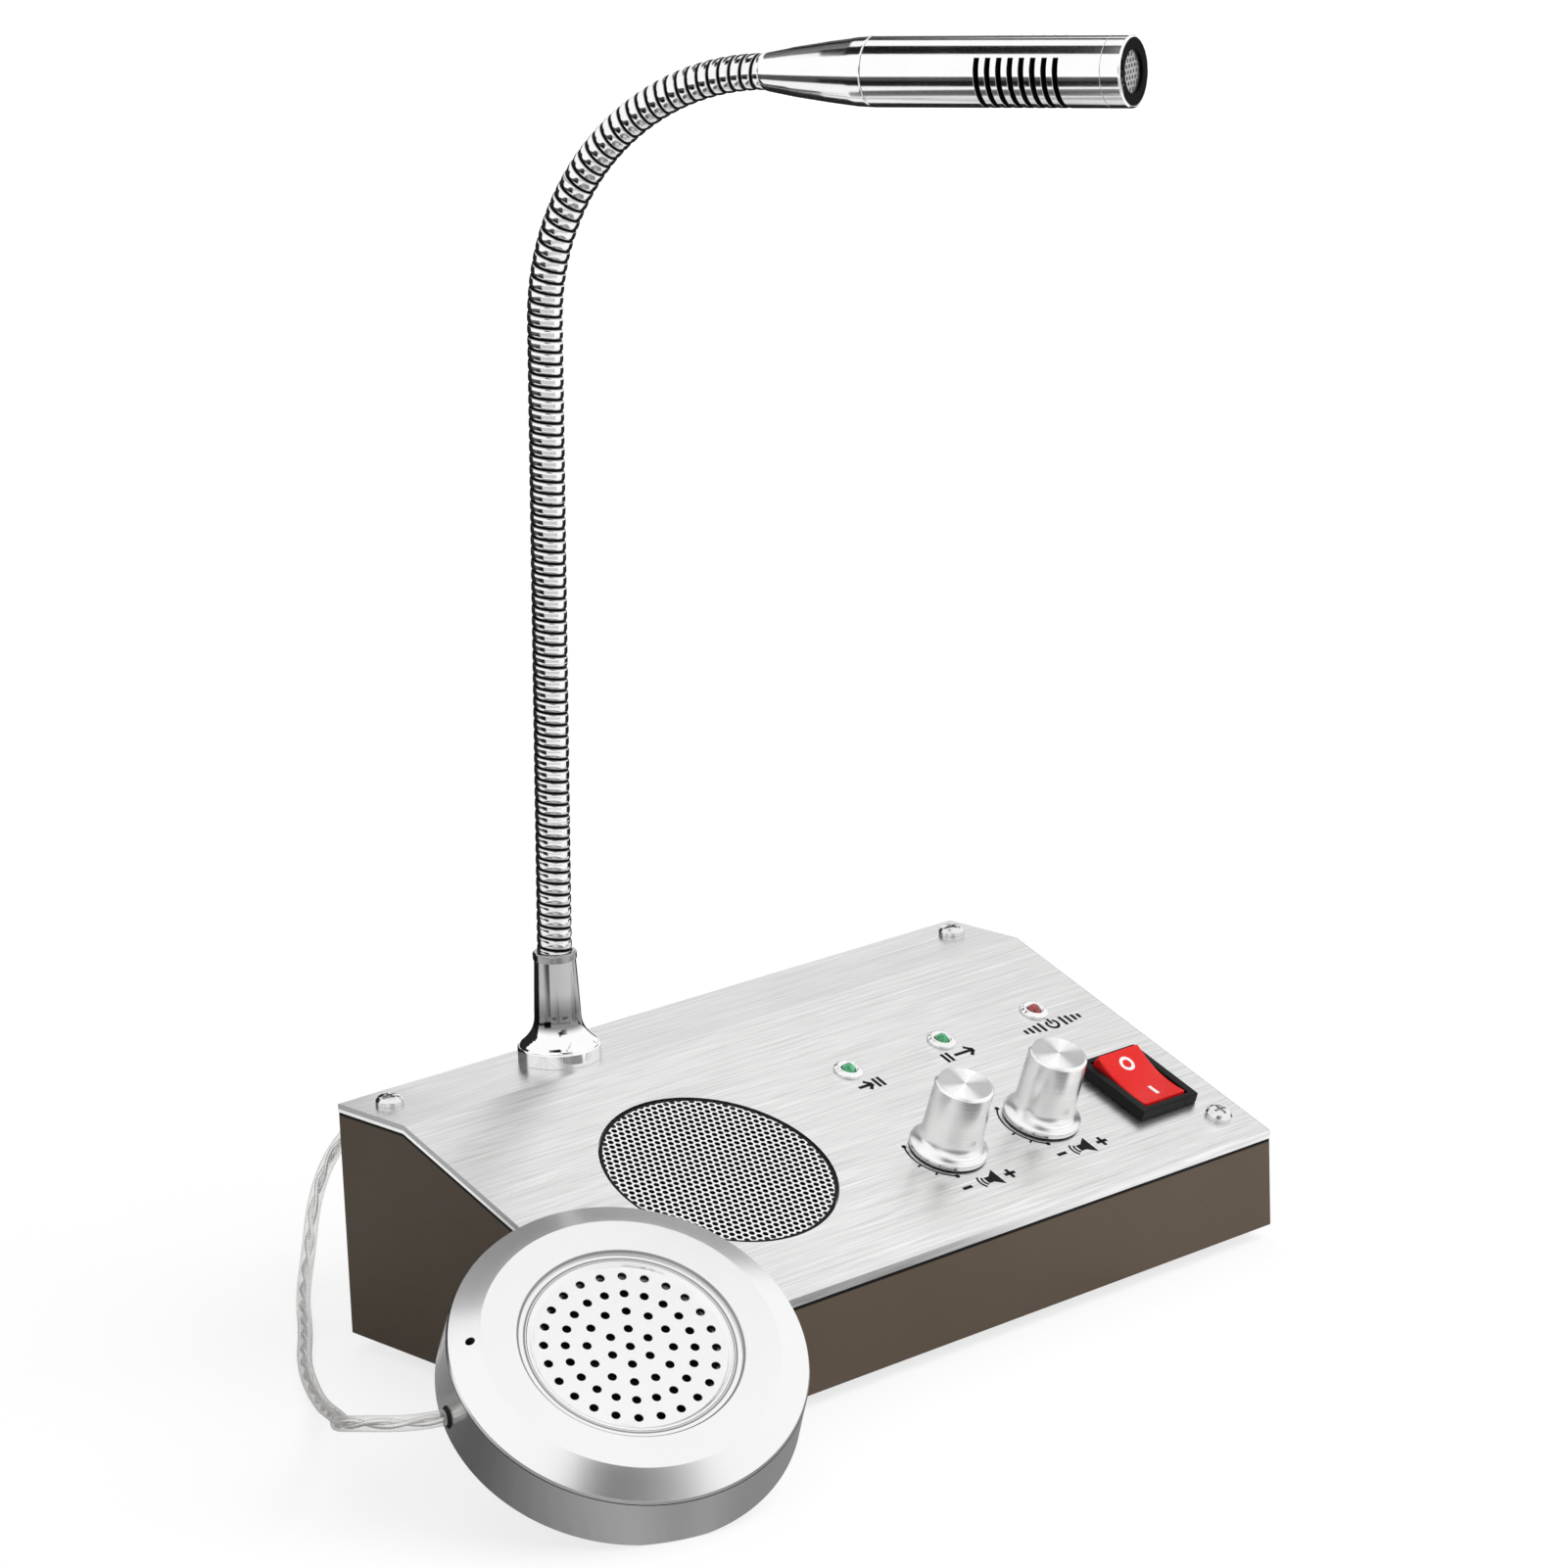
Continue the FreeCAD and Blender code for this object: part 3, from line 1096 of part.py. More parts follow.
def speaker_cable():
    """Round cable along its route, straight runs joined by tangent arcs."""
    points = cable_route()
    print("cable route", [tuple(round(c, 2) for c in point) for point in points])
    radius = value("cable_radius")
    edges = []
    radii = []
    start = points[0]
    for before, corner, after in zip(points, points[1:], points[2:]):
        back = (before - corner).normalize()
        ahead = (after - corner).normalize()
        turn = math.pi - back.getAngle(ahead)
        reach = 0.45 * min((before - corner).Length, (after - corner).Length)
        arc_radius = reach / math.tan(turn / 2)
        radii.append(round(arc_radius, 1))
        entry = corner + back * reach
        leave = corner + ahead * reach
        middle = corner + (back + ahead).normalize() * (arc_radius / math.cos(turn / 2) - arc_radius)
        edges.append(Part.LineSegment(start, entry).toShape())
        edges.append(Part.Arc(entry, middle, leave).toShape())
        start = leave
    edges.append(Part.LineSegment(start, points[-1]).toShape())
    path = Part.Wire(edges)
    section = Part.Wire(Part.makeCircle(radius, points[0], points[1] - points[0]))
    tube = path.makePipeShell([section], True, False)
    print("cable bend radii", radii, "length", round(path.Length, 1), "volume over section"
          " times length", round(tube.Volume / (math.pi * radius ** 2 * path.Length), 4))
    return placed_shape("speaker_cable", tube, FreeCAD.Placement())


# ---- the whole intercom -------------------------------------------------------------

def build():
    parts = [
        housing_shell(), top_plate(), bottom_plate(), corner_posts(),
        group("top_screws", [pan_screw(f"top_screw_{i}", place)
                             for i, place in enumerate(corner_screws())]),
        bottom_screws(), rubber_feet(),
        speaker_grille(), speaker_basket(), speaker_magnet(), speaker_cone(), speaker_clips(),
        group("line_lamps", [lamp("line_lamp_0", "led_in_x"), lamp("line_lamp_1", "led_out_x")]),
        lamp("power_lamp", "led_power_x"),
        group("led_bezels", [led_bezel(i, x) for i, x in
                             enumerate(("led_in_x", "led_out_x", "led_power_x"))]),
    ]
    knobs = (("in", "knob_in_x"), ("out", "knob_out_x"))
    parts.append(group("volume_pots", [volume_pot(i, x) for i, (_, x) in enumerate(knobs)]))
    parts.append(group("pot_nuts", [
        nut(f"pot_nut_{i}", on_panel(x, KNOB_DOWN), "nut_flats", "nut_height",
            "bush_radius + thread_gap") for i, (_, x) in enumerate(knobs)]))
    for side, x in knobs:
        parts += [volume_knob(f"{side}_volume_knob", x), pot_shaft(f"{side}_volume_shaft", x)]
    parts += [
        switch_housing(), power_rocker(), switch_terminals(),
        circuit_board(), board_standoffs(), board_screws(), board_capacitors(),
        amplifier_sink(), board_connectors(),
        line_socket(), power_inlet(), line_plug(),
        group("rear_nuts", [
            nut("line_nut", out_of_rear("line_x", "line_z"), "nut_flats", "socket_nut",
                "line_bush + thread_gap"),
            nut("power_nut", out_of_rear("power_x", "power_z", "(-shell_wall - socket_nut)"),
                "1.5 * nut_flats", "socket_nut", "power_bush + thread_gap")]),
        neck_socket(),
        nut("neck_nut", upright("neck_x", NECK_Y, f"{REAR_TOP} - plate_thick - neck_nut_height"),
            "neck_nut_flats", "neck_nut_height", "shank_radius + thread_gap"),
    ]
    total = neck_length()
    stub = value("neck_stub")
    count = int(value("link_count"))
    step = (total - stub) / count
    parts.append(neck_link("neck_stub", -value("neck_entry"), stub, False, True))
    for i in range(count):
        start = stub + i * step
        parts.append(neck_link(f"neck_link_{i + 1}", start, start + step, True, i < count - 1))
        spot, angle = neck_frame(start)
        print(f"pivot {i + 1}", [round(c, 3) for c in spot], "lean", round(math.degrees(angle), 3))
    parts += [mic_tail(), mic_tube(), mic_end_ring(), mic_face(), mic_mesh(), mic_capsule(),
              mic_capsule_holder()]
    parts += [puck_back_shell(), puck_front_shell(), puck_dish(), *puck_driver_parts(),
              puck_microphone(), puck_screws(), cable_grommet(), speaker_cable()]
    return parts


parts = build()
doc.recompute()

faults = [obj.Label for obj in doc.Objects if "Invalid" in obj.State or "Error" in obj.State]
for part in parts:
    if part.Shape.isNull() or not part.Shape.isValid() or not part.Shape.Solids:
        faults.append(part.Label + " has no valid solid")
if faults:
    raise RuntimeError("not built: " + ", ".join(faults))

os.makedirs("parts", exist_ok=True)
for part in parts:
    part.Shape.exportStep(f"parts/{part.Label}.step")
print(len(parts), "sub-parts written")
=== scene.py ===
import json
import math

import bmesh
import bpy
import numpy as np
from mathutils import Matrix, Vector

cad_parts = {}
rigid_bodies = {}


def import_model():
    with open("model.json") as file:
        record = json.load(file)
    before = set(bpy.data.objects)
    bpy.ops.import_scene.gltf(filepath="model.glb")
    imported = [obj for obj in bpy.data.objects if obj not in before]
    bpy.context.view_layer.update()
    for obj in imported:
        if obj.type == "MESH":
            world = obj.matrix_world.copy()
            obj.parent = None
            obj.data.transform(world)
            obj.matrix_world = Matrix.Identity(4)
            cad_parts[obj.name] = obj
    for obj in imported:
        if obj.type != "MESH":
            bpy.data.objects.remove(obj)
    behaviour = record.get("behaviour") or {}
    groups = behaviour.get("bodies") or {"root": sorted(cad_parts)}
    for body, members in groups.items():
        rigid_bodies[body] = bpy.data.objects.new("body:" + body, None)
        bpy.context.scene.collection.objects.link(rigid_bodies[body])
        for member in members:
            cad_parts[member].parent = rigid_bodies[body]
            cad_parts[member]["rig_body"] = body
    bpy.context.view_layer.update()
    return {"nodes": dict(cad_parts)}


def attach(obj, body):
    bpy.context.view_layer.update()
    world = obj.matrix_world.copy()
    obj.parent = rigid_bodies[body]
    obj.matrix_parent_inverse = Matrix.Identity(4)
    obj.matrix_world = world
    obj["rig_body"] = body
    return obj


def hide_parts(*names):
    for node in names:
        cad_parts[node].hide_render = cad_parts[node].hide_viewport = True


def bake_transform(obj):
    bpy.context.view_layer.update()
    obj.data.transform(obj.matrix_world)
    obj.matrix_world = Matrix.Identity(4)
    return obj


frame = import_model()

mm = 0.001
print("frame loaded,", len(frame["nodes"]), "nodes")

# camera at the operator's left front
cameraSet = {
    "place": (-0.7335, -0.8092, 0.4018),
    "turn": (75.2365, 2.1141, -42.549),
    "lens": 122.26,
    "sensor": 36,
    "clip": 60,
}
cameraData = bpy.data.cameras.new("camera")
cameraData.lens = cameraSet["lens"]
cameraData.sensor_width = cameraSet["sensor"]
cameraData.clip_end = cameraSet["clip"]
camera = bpy.data.objects.new("camera", cameraData)
camera.location = cameraSet["place"]
camera.rotation_euler = [math.radians(a) for a in cameraSet["turn"]]
bpy.context.scene.collection.objects.link(camera)
bpy.context.scene.camera = camera
bpy.context.scene.view_settings.view_transform = "Standard"

# places of the parts, in millimetres, and the turns and slopes of their axes in degrees
layout = {
    "slope": 20.57,
    "bendY": 27.8,
    "rearTop": 54.297,
    "neckFoot": (-38.0, 39.0),
    "neckTurn": 20.0,
    "puckBase": (-102.79, -53.11, 20.27),
    "puckTurn": -21.2,
    "puckTilt": 33.95,
}


def moved(x, y, z):
    return Matrix.Translation((x * mm, y * mm, z * mm))


def onPanel(x, down, height=0.0):
    # down is measured along the slope from its top bend, height off its face
    slope = math.radians(layout["slope"])
    y = layout["bendY"] - down * math.cos(slope) - height * math.sin(slope)
    z = layout["rearTop"] - down * math.sin(slope) + height * math.cos(slope)
    return moved(x, y, z) @ Matrix.Rotation(slope, 4, "X")


def inPuck():
    # the outside speaker's own axes, Z out of its face
    return (moved(*layout["puckBase"])
            @ Matrix.Rotation(math.radians(layout["puckTurn"]), 4, "Z")
            @ Matrix.Rotation(math.radians(layout["puckTilt"]), 4, "X"))


def carried(points, place):
    # every point turned and moved by the place's matrix
    matrix = np.array(place)
    return np.asarray(points, float) @ matrix[:3, :3].T + matrix[:3, 3]


def unit(vectors):
    return vectors / np.linalg.norm(vectors, axis=-1, keepdims=True)


def circle(angle):
    return np.stack([np.cos(angle), np.sin(angle)], -1)


def lengthAt(points):
    # how far along the line of points each of them lies
    steps = np.linalg.norm(np.diff(points, axis=0), axis=1)
    return np.concatenate([[0], np.cumsum(steps)])


def newPiece(name, mesh, material=None):
    piece = bpy.data.objects.new(name, mesh)
    bpy.context.scene.collection.objects.link(piece)
    if material:
        mesh.materials.append(material)
    return piece


def seated(piece, body, slotName, *nodes):
    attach(piece, body)
    if nodes:
        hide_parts(*nodes)
    return piece


def bevelled(piece, width, angle):
    bevel = piece.modifiers.new("edges", "BEVEL")
    bevel.width = width * mm
    bevel.segments = 2
    bevel.limit_method = "ANGLE"
    bevel.angle_limit = math.radians(angle)
    bevel.harden_normals = True
    return piece


def closedUp(mesh, distance=1e-6):
    # merges the seam and the poles, then turns every face outwards
    work = bmesh.new()
    work.from_mesh(mesh)
    bmesh.ops.remove_doubles(work, verts=work.verts, dist=distance)
    bmesh.ops.dissolve_degenerate(work, dist=distance * 0.5, edges=work.edges)
    bmesh.ops.recalc_face_normals(work, faces=work.faces)
    work.to_mesh(mesh)
    work.free()


def gridQuads(rows, cols, wrap=True, keep=None):
    # point (i, j) is joined to (i, j+1), (i+1, j+1) and (i+1, j); wrap joins the last
    # column to the first, and keep says which of the faces are made
    i, j = np.indices((rows - 1, cols if wrap else cols - 1))
    if keep is not None:
        i, j = i[keep], j[keep]
    i, j = i.ravel(), j.ravel()
    after = (j + 1) % cols
    quads = [i * cols + j, i * cols + after, (i + 1) * cols + after, (i + 1) * cols + j]
    return i, j, np.stack(quads, -1)


def gridPiece(name, grid, material, caps=False, uv=None, keep=None):
    # rows of points, each row a closed ring, skinned from the first row to the last
    rows, cols = grid.shape[:2]
    i, j, quads = gridQuads(rows, cols, keep=keep)
    faces = quads.tolist()
    if uv is None:
        uv = np.stack(np.meshgrid(np.arange(cols + 1) / cols, np.arange(rows) / (rows - 1)), -1)
    loops = np.stack([uv[i, j], uv[i, j + 1], uv[i + 1, j + 1], uv[i + 1, j]], 1).reshape(-1, 2)
    if caps:
        faces += [list(range(cols))[::-1], list(range((rows - 1) * cols, rows * cols))]
        loops = np.concatenate([loops, uv[0, :cols][::-1], uv[-1, :cols]])
    mesh = bpy.data.meshes.new(name)
    mesh.from_pydata(grid.reshape(-1, 3), [], faces)
    mesh.uv_layers.new(name="around").data.foreach_set("uv", loops.ravel())
    closedUp(mesh)
    mesh.shade_smooth()
    return newPiece(name, mesh, material)


def softened(profile, radius, closed=False):
    # each corner becomes a quadratic curve between points set back along its two runs,
    # with one more point on each run so that the runs stay flat in shading
    line = np.asarray(profile, float)
    if closed:
        middle = (line[:1] + line[-1:]) / 2
        line = np.concatenate([middle, line, middle])
    corner = line[1:-1]
    runs = np.stack([corner - line[:-2], line[2:] - corner])
    shorter = np.linalg.norm(runs, axis=-1, keepdims=True).min(0)
    before, after = unit(runs) * np.minimum(radius, 0.3 * shorter)
    start, end = corner - before, corner + after
    t = np.linspace(0, 1, 5)[None, :, None]
    curve = ((1 - t) ** 2 * start[:, None] + 2 * t * (1 - t) * corner[:, None]
             + t ** 2 * end[:, None])
    rows = np.concatenate([(start - before * 0.35)[:, None], curve,
                           (end + after * 0.35)[:, None]], 1)
    return np.concatenate([line[:1], rows.reshape(-1, 2), line[-1:]])


def turned(name, profile, place, material, steps=96, soft=0.12, closed=False):
    # the profile's radius and height, swept through a full turn about the local Z axis
    outline = softened(profile, soft, closed) * mm
    ring = circle(np.arange(steps) * 2 * np.pi / steps)
    height = np.repeat(outline[:, None, 1:], steps, 1)
    grid = np.concatenate([outline[:, None, :1] * ring, height], -1)
    gone = lengthAt(outline)
    uv = np.stack(np.meshgrid(np.arange(steps + 1) / steps, gone / gone[-1]), -1)
    return gridPiece(name, carried(grid, place), material, uv=uv)


def dressed(node, material, slotName, edge, angle):
    # the node's own shape with its corners merged, flat faces joined and edges rounded
    source = frame["nodes"][node]
    mesh = source.data.copy()
    mesh.materials.clear()
    work = bmesh.new()
    work.from_mesh(mesh)
    bmesh.ops.remove_doubles(work, verts=work.verts, dist=2e-6)
    bmesh.ops.dissolve_limit(work, angle_limit=math.radians(0.4), verts=work.verts,
                             edges=work.edges)
    work.to_mesh(mesh)
    work.free()
    mesh.shade_smooth()
    mesh.set_sharp_from_angle(angle=math.radians(angle))
    piece = bevelled(newPiece(node + "_edged", mesh, material), edge, angle)
    return seated(piece, source["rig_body"], slotName, node)


def ribbon(path, width, place, low=-0.04, high=0.03):
    # a flat bar carried along a path on the local XY plane: its four edges lie half the
    # width to each side of the path, at the low and the high level
    path = np.asarray(path, float)
    along = unit(np.gradient(path, axis=0))
    half = np.asarray(width, float).reshape(-1, 1) / 2
    side = np.stack([-along[:, 1], along[:, 0]], -1) * half
    edges = [(path - side, low), (path + side, low), (path + side, high), (path - side, high)]
    grid = np.stack([np.column_stack([line, np.full(len(line), level)])
                     for line, level in edges], 1)
    return carried(grid * mm, place)


def inkPiece(name, strokes, material):
    # all the strokes of one print joined into one mesh, each closed at its two ends
    faces, count = [], 0
    for grid in strokes:
        points = len(grid) * 4
        ends = np.array([[3, 2, 1, 0], [points - 4, points - 3, points - 2, points - 1]])
        faces.append(np.concatenate([gridQuads(len(grid), 4)[2], ends]) + count)
        count += points
    mesh = bpy.data.meshes.new(name)
    mesh.from_pydata(np.concatenate([grid.reshape(-1, 3) for grid in strokes]), [],
                     np.concatenate(faces).tolist())
    closedUp(mesh, 1e-8)
    return newPiece(name, mesh, material)


def arc(centre, radius, start, end, count=48):
    # points round the centre at even turns, in degrees
    return centre + radius * circle(np.radians(np.linspace(start, end, count)))


def maths(operation, swapped=False):
    # a method that makes one Math node of a signal and what it is joined with
    def method(self, *others):
        values = [*others, self] if swapped else [self, *others]
        return self.finish.add("Math", {"operation": operation}, dict(enumerate(values)))

    return method


class Signal:
    # one output of a graph; arithmetic on signals makes Math nodes
    def __init__(self, finish, socket):
        self.finish, self.socket = finish, socket

    __add__ = __radd__ = maths("ADD")
    __mul__ = __rmul__ = maths("MULTIPLY")
    __sub__, __rsub__ = maths("SUBTRACT"), maths("SUBTRACT", swapped=True)
    __truediv__, __rtruediv__ = maths("DIVIDE"), maths("DIVIDE", swapped=True)
    __pow__ = maths("POWER")
    larger, smaller = maths("MAXIMUM"), maths("MINIMUM")
    absolute, fraction, cosine = maths("ABSOLUTE"), maths("FRACT"), maths("COSINE")

    def between(self, low, high, start=0.0, end=1.0):
        # start below low, end above high, smooth between them
        return self.finish.add("MapRange", {"interpolation_type": "SMOOTHSTEP"},
                               {"Value": self, "From Min": low, "From Max": high,
                                "To Min": start, "To Max": end})


class Finish:
    # the graph of one material, or of the world, and the shader that ends it
    def __init__(self, name, home=bpy.data.materials):
        self.owner = home.new(name)
        self.owner.use_nodes = True
        self.tree = self.owner.node_tree
        self.tree.nodes.clear()

    def add(self, kind, settings=None, inputs=None, output=0):
        node = self.tree.nodes.new("ShaderNode" + kind)
        for key, value in (settings or {}).items():
            setattr(node, key, value)
        for key, value in (inputs or {}).items():
            if isinstance(value, Signal):
                self.tree.links.new(value.socket, node.inputs[key])
            else:
                node.inputs[key].default_value = value
        return Signal(self, node.outputs[output]) if node.outputs else None

    def place(self, stretch=(1, 1, 1), at=None):
        # object coordinates, brought to a part's own axes and stretched
        spot = self.add("TexCoord", output="Object")
        if at is not None:
            spot = self.add("Mapping", {"vector_type": "TEXTURE"},
                            {"Vector": spot, "Location": at.translation,
                             "Rotation": at.to_euler()})
        if tuple(stretch) != (1, 1, 1):
            spot = self.add("Mapping", None, {"Vector": spot, "Scale": stretch})
        return spot

    def axes(self, vector):
        # the three numbers of a vector
        parts = self.add("SeparateXYZ", None, {"Vector": vector}).socket.node
        return [Signal(self, output) for output in parts.outputs]

    def seen(self):
        # 1 for what the camera sees straight, in a mirror or through glass, 0 for light
        path = self.add("LightPath").socket.node
        camera, mirror, glass = (Signal(self, path.outputs[f"Is {ray} Ray"])
                                 for ray in ("Camera", "Glossy", "Transmission"))
        return camera.larger(mirror).larger(glass)

    def noise(self, scale, detail=3.0, rough=0.55, stretch=(1, 1, 1), at=None):
        return self.add("TexNoise", None, {"Vector": self.place(stretch, at), "Scale": scale,
                                           "Detail": detail, "Roughness": rough})

    def blend(self, factor, first, second):
        # a colour between two colours
        return self.add("Mix", {"data_type": "RGBA"}, {0: factor, 6: first, 7: second}, 2)

    def bump(self, height, distance, strength=1.0):
        return self.add("Bump", None, {"Height": height, "Strength": strength,
                                       "Distance": distance})

    def end(self, shader, kind="OutputMaterial"):
        self.add(kind, None, {"Surface": shader})
        return self.owner

    def coated(self, colour, rough, metal=0.0, normal=None, **constants):
        # the principled shader, with short names for the sockets that only some finishes set
        inputs = {"Base Color": colour, "Roughness": rough, "Metallic": metal}
        if normal is not None:
            inputs["Normal"] = normal
        names = {"coat": "Coat Weight", "specular": "Specular IOR Level", "alpha": "Alpha",
                 "anisotropy": "Anisotropic", "glow": "Emission Color",
                 "glowStrength": "Emission Strength"}
        inputs.update({names[key]: value for key, value in constants.items()})
        return self.end(self.add("BsdfPrincipled", None, inputs))


def rgb(*values):
    # one number is a grey, three are a colour
    return (*(values * 3)[:3], 1.0)


def overPlate(f):
    # height over the folded top plate: the greater of the heights over its two flats
    slopeSide = f.axes(f.place(at=onPanel(0, 0)))[2]
    return slopeSide.larger(f.axes(f.place())[2] - layout["rearTop"] * mm)


casingSet = {"light": rgb(0.124, 0.096, 0.073), "dark": rgb(0.104, 0.079, 0.058),
             "speck": rgb(0.2, 0.18, 0.15), "rough": 0.42, "plate": 1.8, "joint": 0.8}


def casingPaint():
    # satin paint: faint cloudy tone, fine orange peel and a few lighter rubbed specks
    f, s = Finish("casing_paint_satin"), casingSet
    cloud = f.noise(22, 4)
    peel = f.noise(2600, 2)
    speck = f.noise(900, 2).between(0.70, 0.78)
    colour = f.blend(speck * 0.25, f.blend(cloud, s["dark"], s["light"]), s["speck"])
    # the dark joint below the folded plate
    below = overPlate(f) + s["plate"] * mm
    joint = below.between(-s["joint"] * mm, -0.6 * s["joint"] * mm)
    colour = f.blend(joint, colour, rgb(0.006))
    return f.coated(colour, s["rough"] + (cloud - 0.5) * 0.12 + speck * 0.1,
                    normal=f.bump(peel, 0.00004, 0.5), specular=0.10)


panelSet = {"light": rgb(0.875, 0.875, 0.87), "dark": rgb(0.63, 0.63, 0.625), "rough": 0.31,
            "gleam": rgb(0.97, 0.97, 0.965), "scratch": rgb(0.48, 0.48, 0.475),
            "end": (89.80, 89.88), "burnished": (-1.15, -1.0)}


def brushedPanel():
    # lines brushed along the panel's length, some long and light, with faint handling marks
    f, s = Finish("panel_aluminium_brushed"), panelSet
    tilt = onPanel(0, 0)
    fine = f.noise(1.0, 2, 0.6, (60, 3600, 60), tilt)
    long = f.noise(1.0, 3, 0.65, (22, 1300, 22), tilt)
    bright = f.noise(1.0, 1, 0.5, (34, 1500, 34), tilt).between(0.60, 0.70)
    deep = f.noise(1.0, 1, 0.5, (40, 1700, 40), tilt).between(0.62, 0.72)
    smudge = f.noise(30, 3)
    lines = fine * 0.45 + long * 0.55
    colour = f.blend(lines.between(0.28, 0.66), s["dark"], s["light"])
    colour = f.blend(bright * 0.6, colour, s["gleam"])
    colour = f.blend(deep * 0.35, colour, s["scratch"])
    # the sheared ends of the sheet are duller, and their lower edge is burnished bright
    end = f.axes(f.place())[0].absolute().between(*(x * mm for x in s["end"]))
    burnished = overPlate(f).between(*(z * mm for z in s["burnished"]))
    colour = f.blend(end, colour, f.blend(burnished, s["gleam"], rgb(0.42)))
    return f.coated(colour, s["rough"] + (lines - 0.5) * 0.22 + (smudge - 0.5) * 0.08, 1.0,
                    f.bump(lines, 0.00003, 0.4))


knobFinishSet = {"light": rgb(0.97, 0.97, 0.965), "dark": rgb(0.82), "rough": 0.24,
                 "rings": (2.0, 420.0, 1.0), "highlightTurn": 0.094, "topFrom": (0.835, 0.845)}


def turnedAluminium():
    # rings left by the lathe tool round the knob's axis, on its side and its top
    f, s = Finish("knob_aluminium_turned"), knobFinishSet
    ring = f.add("UVMap")
    stretched = f.add("Mapping", None, {"Vector": ring, "Scale": s["rings"]})
    fine = f.add("TexNoise", None, {"Vector": stretched, "Scale": 1.0, "Detail": 3.0})
    handling = f.noise(260, 3)
    colour = f.blend(fine.between(0.3, 0.7), s["dark"], s["light"])
    # painted highlight on the faced-off top: two bright wedges of painted highlight where a turned
    # face would fan its reflection, and painted shade in the duller quarters between them
    u, v, _ = f.axes(ring)
    highlightFan = ((u - s["highlightTurn"]) * (4 * math.pi)).cosine()
    highlightWedge = highlightFan.between(0.80, 1.0)
    paintedShadeQuarter = highlightFan.between(0.75, -0.6) * (0.75 + f.noise(90, 2) * 0.5)
    top = v.between(*s["topFrom"])
    colour = f.blend(top * paintedShadeQuarter * 0.8, colour, rgb(0.42))
    colour = f.blend(top * highlightWedge, colour, rgb(1.0))
    return f.coated(colour, s["rough"] + (fine - 0.5) * 0.16 + (handling - 0.5) * 0.06, 1.0,
                    f.bump(fine, 0.000015, 0.5), anisotropy=0.75)


chromeSet = {"light": rgb(0.95, 0.95, 0.955), "dark": rgb(0.84, 0.84, 0.85),
             "pin": rgb(0.35, 0.35, 0.36)}


def brightChrome(name, rough, dark):
    # plated and polished, with faint smears and pin specks
    f, s = Finish(name), chromeSet
    smear = f.noise(90, 4)
    speck = f.noise(1500, 1).between(0.74, 0.8)
    colour = f.blend(smear, rgb(dark, dark, dark * 1.01), s["light"])
    colour = f.blend(speck * 0.3, colour, s["pin"])
    return f.coated(colour, rough + (smear - 0.5) * 0.06 + speck * 0.04, 1.0,
                    f.bump(smear, 0.00004, 0.2))


def socketChrome():
    # plated like the other chrome, with painted reflections in its colour: a painted dark
    # reflection darkest where the flare meets the stem and clearing towards the foot and the collar
    f, s = Finish("socket_chrome_painted_reflection"), chromeSet
    height = f.axes(f.place(at=moved(*layout["neckFoot"], layout["rearTop"])))[2]
    smear = f.noise(90, 4)
    # painted dark reflection where the flare meets the stem, painted grey reflection along the stem
    # and a painted dark band at the collar
    flare = height.between(6.4 * mm, 8.2 * mm) * (1 - height.between(10.5 * mm, 16.0 * mm))
    stem = height.between(9.0 * mm, 14.0 * mm)
    collar = height.between(22.2 * mm, 22.4 * mm)
    colour = f.blend(stem, f.blend(smear, s["dark"], s["light"]), rgb(0.50, 0.50, 0.51))
    colour = f.blend(collar * 0.6, colour, rgb(0.25))
    colour = f.blend(flare * 0.8, colour, rgb(0.06))
    return f.coated(colour, 0.07 + (smear - 0.5) * 0.06 + stem * 0.06, 1.0,
                    f.bump(smear, 0.00004, 0.2))


def plainMetal(name, light, dark, rough, grain=700, metal=1.0):
    # cast or drawn metal with a fine grain
    f = Finish(name)
    grainy = f.noise(grain, 4)
    broad = f.noise(60, 3)
    colour = f.blend(grainy * 0.6 + broad * 0.4, dark, light)
    return f.coated(colour, rough + (grainy - 0.5) * 0.2 + (broad - 0.5) * 0.08, metal,
                    f.bump(grainy, 0.00005, 0.35))


# a finish's name, light tone, dark tone and roughness, then what isn't the usual
metalSet = {
    "screw_steel": ("screw_steel_plated", rgb(0.88), rgb(0.66, 0.66, 0.67), 0.18, 900),
    "plain_steel": ("plain_steel_zinc", rgb(0.66, 0.66, 0.68), rgb(0.46, 0.46, 0.48), 0.34),
    "contact_brass": ("contact_brass_strip", rgb(0.80, 0.60, 0.30), rgb(0.55, 0.40, 0.18), 0.28),
    "magnet_ferrite": ("magnet_ferrite_dull", rgb(0.09), rgb(0.05), 0.6, 500, 0.3),
}


def plastic(name, light, dark, rough, grain=1200, depth=0.00006, specular=0.10):
    # moulded plastic: a slight tone drift and a fine moulded grain
    f = Finish(name)
    broad = f.noise(70, 3)
    grainy = f.noise(grain, 3)
    return f.coated(f.blend(broad, dark, light), rough + (grainy - 0.5) * 0.16,
                    normal=f.bump(grainy, depth, 0.4), specular=specular)


